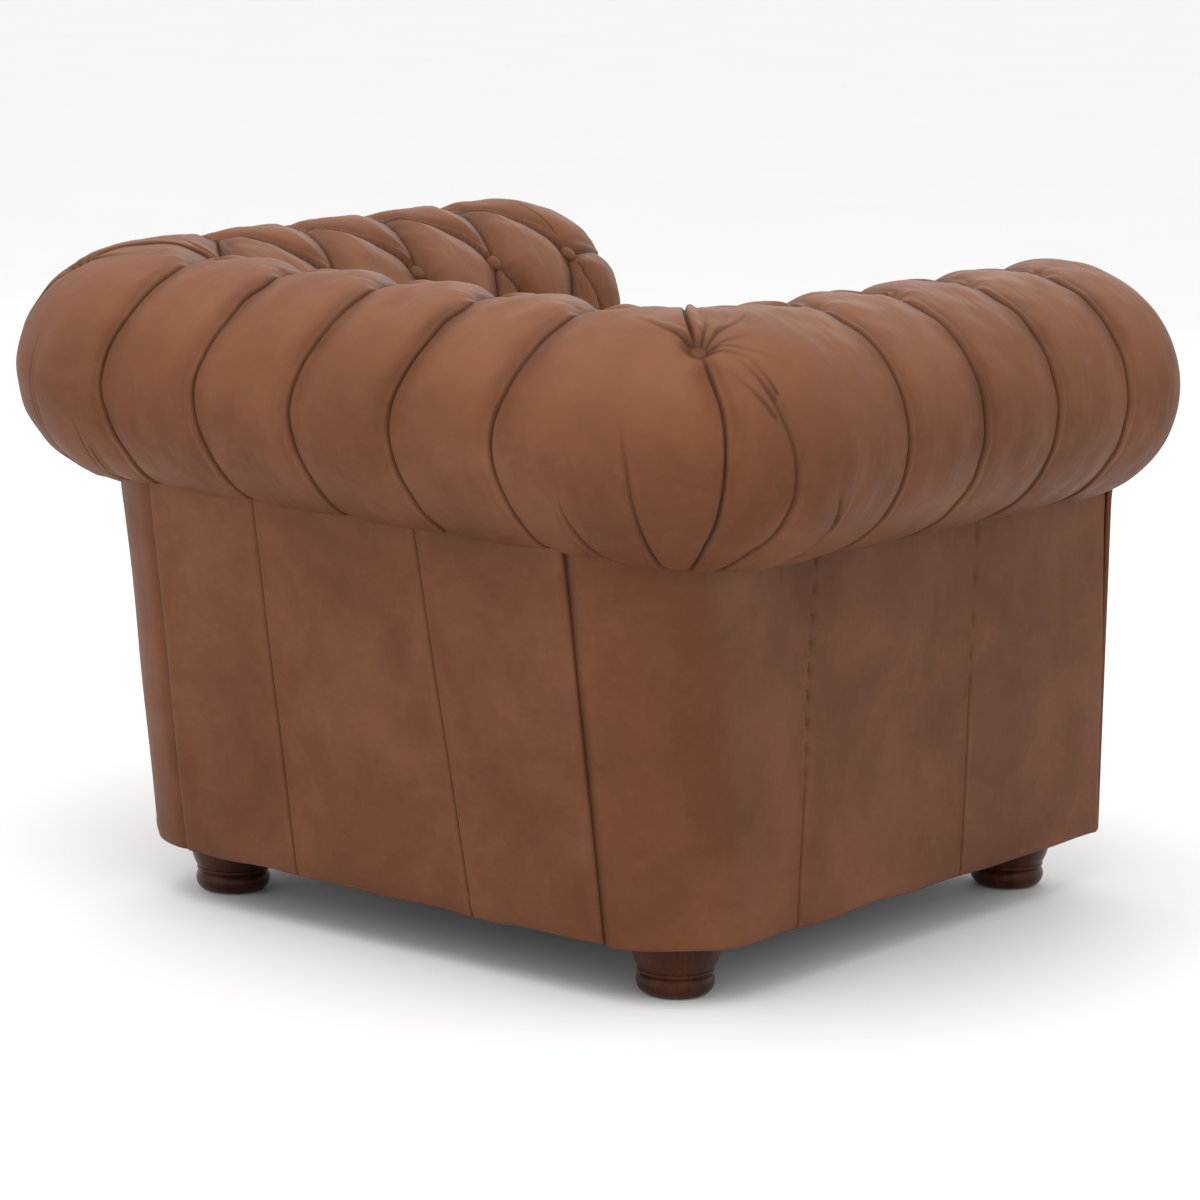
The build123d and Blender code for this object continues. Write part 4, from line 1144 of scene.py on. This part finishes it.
def deck_piece():
    xs = np.linspace(-290, 290, 120)
    ys = np.linspace(apron_hi[1] - 3, 165, 110)
    x, y = np.meshgrid(xs, ys)
    z = deck_hi[2] + 1.0 + 0.6 * wobble(x, y, 150.0, 24) - 2.0 * np.exp(-(290 - np.abs(x)) / 25.0)
    p = np.stack([x, y, z], -1)
    return mesh_object("seat_deck_cloth", p.reshape(-1, 3), grid_faces(*x.shape), finishes["deck_fabric"])


apron = apron_piece()
deck = deck_piece()

# ---------------------------------------------------------------- buttons


def button_parts(where):
    """A covered button at each (s, T) of the roll, domed, with its leather drawn in at the rim."""
    parts = []
    r = np.array([10.2, 10.4, 10.0, 9.0, 7.2, 4.6, 1.6, 0.15])
    zz = np.array([-2.5, 0.4, 2.0, 3.5, 4.7, 5.4, 5.75, 5.8])
    a = np.linspace(0, 2 * math.pi, 40, endpoint=False)
    for index, (s, t) in enumerate(where):
        p, tt = roll_points(np.array([s - 1.0, s, s + 1.0]))
        n = normals_of(p)
        row = int(np.argmin(np.abs(tt[:, 1] - t)))
        c, nn = p[row, 1], n[row, 1]
        if nn[2] < 0 and row < len(p) * 0.7:
            nn = -nn
        if row >= len(p) * 0.7 and np.dot(nn[:2], -c[:2]) < 0:
            nn = -nn
        side = np.cross(nn, [0, 0, 1.0])
        side /= np.linalg.norm(side)
        other = np.cross(nn, side)
        tilt = np.random.default_rng(index).uniform(-0.5, 0.5, 2)
        ripple = 1 + 0.018 * np.sin(a * 11 + index)[None, :] * np.clip((zz[:, None] < 2.2), 0, 1)
        ring = r[:, None] * ripple
        lift = zz[:, None] + tilt[0] * np.cos(a) * r[:, None] / 12 + tilt[1] * np.sin(a) * r[:, None] / 12
        pts = (c + nn * (lift[..., None] - 15.0) + side * (ring * np.cos(a))[..., None]
               + other * (ring * np.sin(a))[..., None])
        faces = grid_faces(len(r), len(a), wrap=True)
        parts.append((pts.reshape(-1, 3), faces))
    return join_parts(parts)


right_tufts = [t for t in tufts if t[0] < L1]
left_tufts = [t for t in tufts if t[0] > mirrored(L1)]
back_tufts = [t for t in tufts if L1 + LC <= t[0] <= mirrored(L1 + LC)]
corner_tufts = [t for t in tufts if t not in right_tufts + left_tufts + back_tufts]
buttons_right = mesh_object("arm_tuft_buttons_right", *button_parts(right_tufts), hide_plain)
buttons_left = mesh_object("arm_tuft_buttons_left", *button_parts(left_tufts), hide_plain)
buttons_corner = mesh_object("corner_tuft_buttons", *button_parts(corner_tufts), hide_plain)
buttons_back = mesh_object("back_tuft_buttons", *button_parts(back_tufts), hide_plain)

# ---------------------------------------------------------------- seat cushion

core_lo, core_hi = box("cushion_core")
cush_lo, cush_hi = box("cushion_cover")
zip_lo, zip_hi = box("cushion_zip")
ZIP_MID = (zip_lo[2] + zip_hi[2]) / 2
EDGE_R = 12.0


def applied(obj):
    """The mesh of obj with its modifiers, as a new mesh."""
    graph = bpy.context.evaluated_depsgraph_get()
    return bpy.data.meshes.new_from_object(obj.evaluated_get(graph))


def coordinates(mesh):
    co = np.zeros(len(mesh.vertices) * 3)
    mesh.vertices.foreach_get("co", co)
    return co.reshape(-1, 3)


def inflated(mesh):
    """A few frames of cloth under pressure: the faces crown and the sides pull in between the corners."""
    obj = bpy.data.objects.new("cushion_sim", mesh)
    bpy.context.scene.collection.objects.link(obj)
    cloth = obj.modifiers.new("cloth", "CLOTH")
    settings = cloth.settings
    settings.quality = 5
    settings.mass = 0.35
    settings.tension_stiffness = 22
    settings.compression_stiffness = 22
    settings.shear_stiffness = 14
    settings.bending_stiffness = 3.0
    settings.use_pressure = True
    settings.uniform_pressure_force = 4.0
    settings.effector_weights.gravity = 0.0
    cloth.point_cache.frame_start = 1
    cloth.point_cache.frame_end = 20
    scene = bpy.context.scene
    for f in range(1, 21):
        scene.frame_set(f)
    out = coordinates(applied(obj))
    bpy.data.objects.remove(obj)
    scene.frame_set(1)
    return out


def cushion_piece():
    base = bpy.data.objects.new("cushion_base", nodes["cushion_core"].data.copy())
    bpy.context.scene.collection.objects.link(base)
    remesh = base.modifiers.new("remesh", "REMESH")
    remesh.mode = "VOXEL"
    remesh.voxel_size = 0.006
    mesh = applied(base)
    bpy.data.objects.remove(base)
    p = coordinates(mesh) * MM
    centre = (core_lo + core_hi) / 2
    p = centre + (p - centre) * ((cush_hi - cush_lo) / (core_hi - core_lo))
    half = (cush_hi - cush_lo) / 2
    rel = (p - centre) / half
    mesh.vertices.foreach_set("co", (p / MM).astype(np.float32).ravel())
    mesh.update()
    moved = inflated(mesh) * MM
    step = moved - p
    size = np.linalg.norm(step, axis=1, keepdims=True)
    step = step * np.minimum(1, 14.0 / np.maximum(size, 1e-6))
    step[:, 2] *= np.where(rel[:, 2] < -0.5, 0.15, 1.0)
    p = p + step
    # crown of the filling on the top, fullness of the boxing, and a light dip where it is sat on
    inner = np.clip(1 - rel[:, 0] ** 2, 0, 1) * np.clip(1 - rel[:, 1] ** 2, 0, 1)
    top = smooth((rel[:, 2] - 0.55) / 0.35)
    p[:, 2] += top * (15.0 * inner ** 0.55 - 3.0 * inner ** 3)
    mid = np.clip(1 - rel[:, 2] ** 2, 0, 1)
    for axis, other in ((0, 1), (1, 0)):
        outer = np.sign(rel[:, axis]) * smooth((np.abs(rel[:, axis]) - 0.8) / 0.18)
        p[:, axis] += outer * 5.0 * mid * np.clip(1 - rel[:, other] ** 4, 0, 1)
    # small puckers in from the welts and slack creases towards the corners
    to_side = (1 - np.abs(rel[:, 0])) * half[0]
    to_end = (1 - np.abs(rel[:, 1])) * half[1]
    p[:, 2] += top * 1.1 * np.exp(-to_side / 22.0) * streaks(p[:, 1], p[:, 0], 17.0, 71)
    p[:, 2] += top * 1.1 * np.exp(-to_end / 22.0) * streaks(p[:, 0], p[:, 1], 17.0, 72)
    p[:, 2] += top * 0.9 * wobble(p[:, 0], p[:, 1], 120.0, 73)
    corner = np.exp(-np.hypot(to_side, to_end) / 60.0)
    p[:, 2] += top * 1.6 * corner * streaks(to_side - to_end, to_side, 21.0, 74)
    side_band = smooth((np.abs(rel[:, :2]).max(1) - 0.93) / 0.06)
    drop = np.minimum(cush_hi[2] - p[:, 2], p[:, 2] - cush_lo[2])
    fold = side_band * 0.9 * np.exp(-np.clip(drop - 10, 0, None) / 16.0)
    along = np.where(np.abs(rel[:, 0]) > np.abs(rel[:, 1]), p[:, 1], p[:, 0])
    pinch = fold * streaks(along, p[:, 2], 15.0, 75)
    across = np.abs(rel[:, 0]) > np.abs(rel[:, 1])
    p[:, 0] += np.where(across, np.sign(rel[:, 0]) * pinch, 0)
    p[:, 1] += np.where(across, 0, np.sign(rel[:, 1]) * pinch)
    # stay inside the arms and the back, behind the zip's tape, and on the deck
    limit = ARM_X + inner_u(ARM_BASE_U, np.clip(p[:, 2], DECK_Z, ZC)) - 4.0
    p[:, 0] = np.clip(p[:, 0], -limit, limit)
    rear = cush_hi[1] - 0.6 + 9.0 * smooth((np.abs(p[:, 2] - ZIP_MID) - 9.0) / 22.0)
    p[:, 1] = np.clip(p[:, 1], cush_lo[1] - 8.0, rear)
    p[:, 2] = np.maximum(p[:, 2], deck_hi[2] + 2.6)
    mesh.vertices.foreach_set("co", (p / MM).astype(np.float32).ravel())
    # a paler middle on the top of the cushion: partly wear, partly painted highlight
    wear_and_highlight = top * smooth(inner * 1.4)
    mesh.materials.clear()
    mesh.materials.append(hide)
    mesh.name = "seat_cushion_leather"
    finish_mesh(mesh, {"painted_shade": 0.0 * wear_and_highlight, "wear_and_highlight": 0.55 * wear_and_highlight})
    mesh.update()
    obj = linked(bpy.data.objects.new("seat_cushion_leather", mesh))
    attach(obj, "cushion")
    return obj


def welt_path(top):
    """The nominal edge of the cushion, from which the welt is laid on to the filled shape."""
    inset = EDGE_R * 0.29
    x1, y0, y1, r = cush_hi[0] - inset, cush_lo[1] + inset, cush_hi[1] - inset, 27.0
    z = cush_hi[2] - inset if top else cush_lo[2] + inset
    pts = []
    for cx, cy, a0 in ((x1 - r, y1 - r, 0), (-x1 + r, y1 - r, 90), (-x1 + r, y0 + r, 180), (x1 - r, y0 + r, 270)):
        for k in range(0, 91, 9):
            a = math.radians(a0 + k)
            pts.append((cx + r * math.cos(a), cy + r * math.sin(a), z))
    return resample(pts, 5.0, closed=True)


def welt_piece(cushion_obj):
    mesh = cushion_obj.data
    tree = BVHTree.FromPolygons([v.co.copy() for v in mesh.vertices], [list(f.vertices) for f in mesh.polygons])
    parts = []
    for top in (True, False):
        pts = []
        for q in welt_path(top):
            centre = Vector((0, (cush_lo[1] + cush_hi[1]) / 2, (cush_lo[2] + cush_hi[2]) / 2))
            out = Vector(q) - centre
            out.z = 0
            out.normalize()
            out.z = 0.8 if top else -0.8
            hit = tree.ray_cast((Vector(q) + out * 40) / MM, -out.normalized())[0]
            if hit is None:
                hit = tree.find_nearest(Vector(q) / MM)[0]
            pts.append(np.array(hit) * MM + np.array(out.normalized()) * 1.6)
        pts = soften(pts, 8, closed=True)
        pts[:, 2] = np.maximum(pts[:, 2], deck_hi[2] + 5.6)
        parts.append(tube_points(pts, 4.0, 12, closed=True))
    return mesh_object("seat_cushion_welts", *join_parts(parts), piping_hide, body="cushion")


cushion = cushion_piece()
welts = welt_piece(cushion)
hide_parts("cushion_cover", "cushion_core")
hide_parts("cushion_welts")

# ---------------------------------------------------------------- dust cover

dust_lo, dust_hi = box("dust_cover")
FEET = [f"foot_{end}_{side}" for end in ("front", "rear") for side in ("left", "right")]


def dust_piece():
    """Black lining under the seat, cut round the feet, sagging a little away from its edges."""
    bm = bmesh.new()
    z = (dust_lo[2] + dust_hi[2]) / 2 / MM

    def loop(points):
        vs = [bm.verts.new((x / MM, y / MM, z)) for x, y in points]
        for i, v in enumerate(vs):
            bm.edges.new((v, vs[(i + 1) % len(vs)]))

    x1, y0, y1, r = dust_hi[0] - 1.0, dust_lo[1] + 1.0, dust_hi[1] - 1.0, 100.0
    outline = [(-x1, y0), (x1, y0)]
    outline += [(x1 - r + r * math.cos(a), y1 - r + r * math.sin(a)) for a in np.linspace(0, math.pi / 2, 18)]
    outline += [(-x1 + r - r * math.sin(a), y1 - r + r * math.cos(a)) for a in np.linspace(0, math.pi / 2, 18)]
    loop(outline)
    for name in FEET:
        lo, hi = box(name)
        cx, cy = (lo[0] + hi[0]) / 2, (lo[1] + hi[1]) / 2
        loop([(cx + 48.5 * math.cos(a), cy + 48.5 * math.sin(a)) for a in np.linspace(0, 2 * math.pi, 48)[:-1]])
    bmesh.ops.triangle_fill(bm, edges=bm.edges[:], use_beauty=True, use_dissolve=False)
    bmesh.ops.subdivide_edges(bm, edges=bm.edges[:], cuts=3, use_grid_fill=True)
    for v in bm.verts:
        x, y = v.co.x * MM, v.co.y * MM
        inside = min(x1 - abs(x), y - y0, y1 - y)
        v.co.z -= 0.0018 * float(smooth(inside / 120.0))
    mesh = bpy.data.meshes.new("underside_dust_cloth")
    bm.to_mesh(mesh)
    bm.free()
    mesh.materials.append(finishes["dust_cloth"])
    obj = bpy.data.objects.new("underside_dust_cloth", mesh)
    bpy.context.scene.collection.objects.link(obj)
    thick = obj.modifiers.new("cloth thickness", "SOLIDIFY")
    thick.thickness = 0.0008
    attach(obj, "chair")
    return obj


dust = dust_piece()
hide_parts("dust_cover")

# ---------------------------------------------------------------- camera, light and floor

a, e, roll = math.radians(218.6), math.radians(11.1), math.radians(1.1)
back = Vector((math.sin(a) * math.cos(e), -math.cos(a) * math.cos(e), math.sin(e)))
right = Vector((math.cos(a), math.sin(a), 0))
up = back.cross(right)
right2 = right * math.cos(roll) + up * math.sin(roll)
up2 = up * math.cos(roll) - right * math.sin(roll)
target = Vector((0.0571, -0.1074, 0.3085))
camera_data = bpy.data.cameras.new("camera")
camera_data.lens = 141.84
camera_data.sensor_width = 36.0
camera_data.clip_start = 0.1
camera_data.clip_end = 100.0
camera = bpy.data.objects.new("camera", camera_data)
bpy.context.scene.collection.objects.link(camera)
m = Matrix((right2, up2, back)).transposed().to_4x4()
m.translation = target + back * 5.1906
camera.matrix_world = m
bpy.context.scene.camera = camera

world = bpy.data.worlds.new("studio")
bpy.context.scene.world = world
world.use_nodes = True
world.node_tree.nodes["Background"].inputs["Color"].default_value = (1.0, 1.0, 1.0, 1.0)
world.node_tree.nodes["Background"].inputs["Strength"].default_value = 1.0


def area_light(name, place, size, power, aim=(0, 0, 0.35)):
    data = bpy.data.lights.new(name, "AREA")
    data.shape = "RECTANGLE"
    data.size, data.size_y = size
    data.energy = power
    obj = bpy.data.objects.new(name, data)
    obj.location = place
    obj.rotation_mode = "QUATERNION"
    obj.rotation_quaternion = (Vector(aim) - Vector(place)).to_track_quat("-Z", "Y")
    bpy.context.scene.collection.objects.link(obj)


area_light("key", (-0.6, 1.6, 3.4), (2.6, 2.6), 58.0)
area_light("fill", (-3.2, 1.2, 1.6), (2.2, 2.0), 8.0)
area_light("rear", (0.9, 3.6, 1.5), (2.4, 1.8), 11.0)
area_light("front", (1.5, -3.4, 2.4), (2.4, 2.0), 20.0)

floor_mesh = bpy.data.meshes.new("floor")
floor_mesh.from_pydata([(-45, -45, 0), (45, -45, 0), (45, 45, 0), (-45, 45, 0)], [], [(0, 1, 2, 3)])
floor = bpy.data.objects.new("floor", floor_mesh)
bpy.context.scene.collection.objects.link(floor)
floor_material, floor_nt, floor_shader = new_material("floor_paint")
floor_tone = ramp(floor_nt, noise(floor_nt, coords(floor_nt), 3.0),
                  [(0.3, (0.91, 0.91, 0.91)), (0.7, (0.92, 0.92, 0.92))])
floor_nt.links.new(floor_tone, floor_shader.inputs["Base Color"])
floor_shader.inputs["Roughness"].default_value = 0.8
floor_mesh.materials.append(floor_material)
bpy.context.scene.view_settings.view_transform = "Standard"

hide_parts("arm_front_cover_right", "arm_front_pads")
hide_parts("arm_front_cover_left")
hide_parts("arm_front_facing_right")
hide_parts("arm_front_facing_left")
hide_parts("facing_piping")
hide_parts("outside_back_panel")
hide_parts("outside_arm_panel_right")
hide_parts("outside_arm_panel_left")
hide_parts("front_apron", "front_edge_pad")
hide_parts("deck_cloth", "deck_pad", "seat_insulator")
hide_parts("arm_buttons_right")
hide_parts("arm_buttons_left")
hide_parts("corner_buttons")
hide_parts("back_buttons")
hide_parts("arm_cover_right", "arm_roll_pad_right")
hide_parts("arm_cover_left", "arm_roll_pad_left", "arm_inside_pads")
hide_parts("corner_covers", "corner_roll_pads")
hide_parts("back_cover", "back_roll_pad", "back_inside_pad")
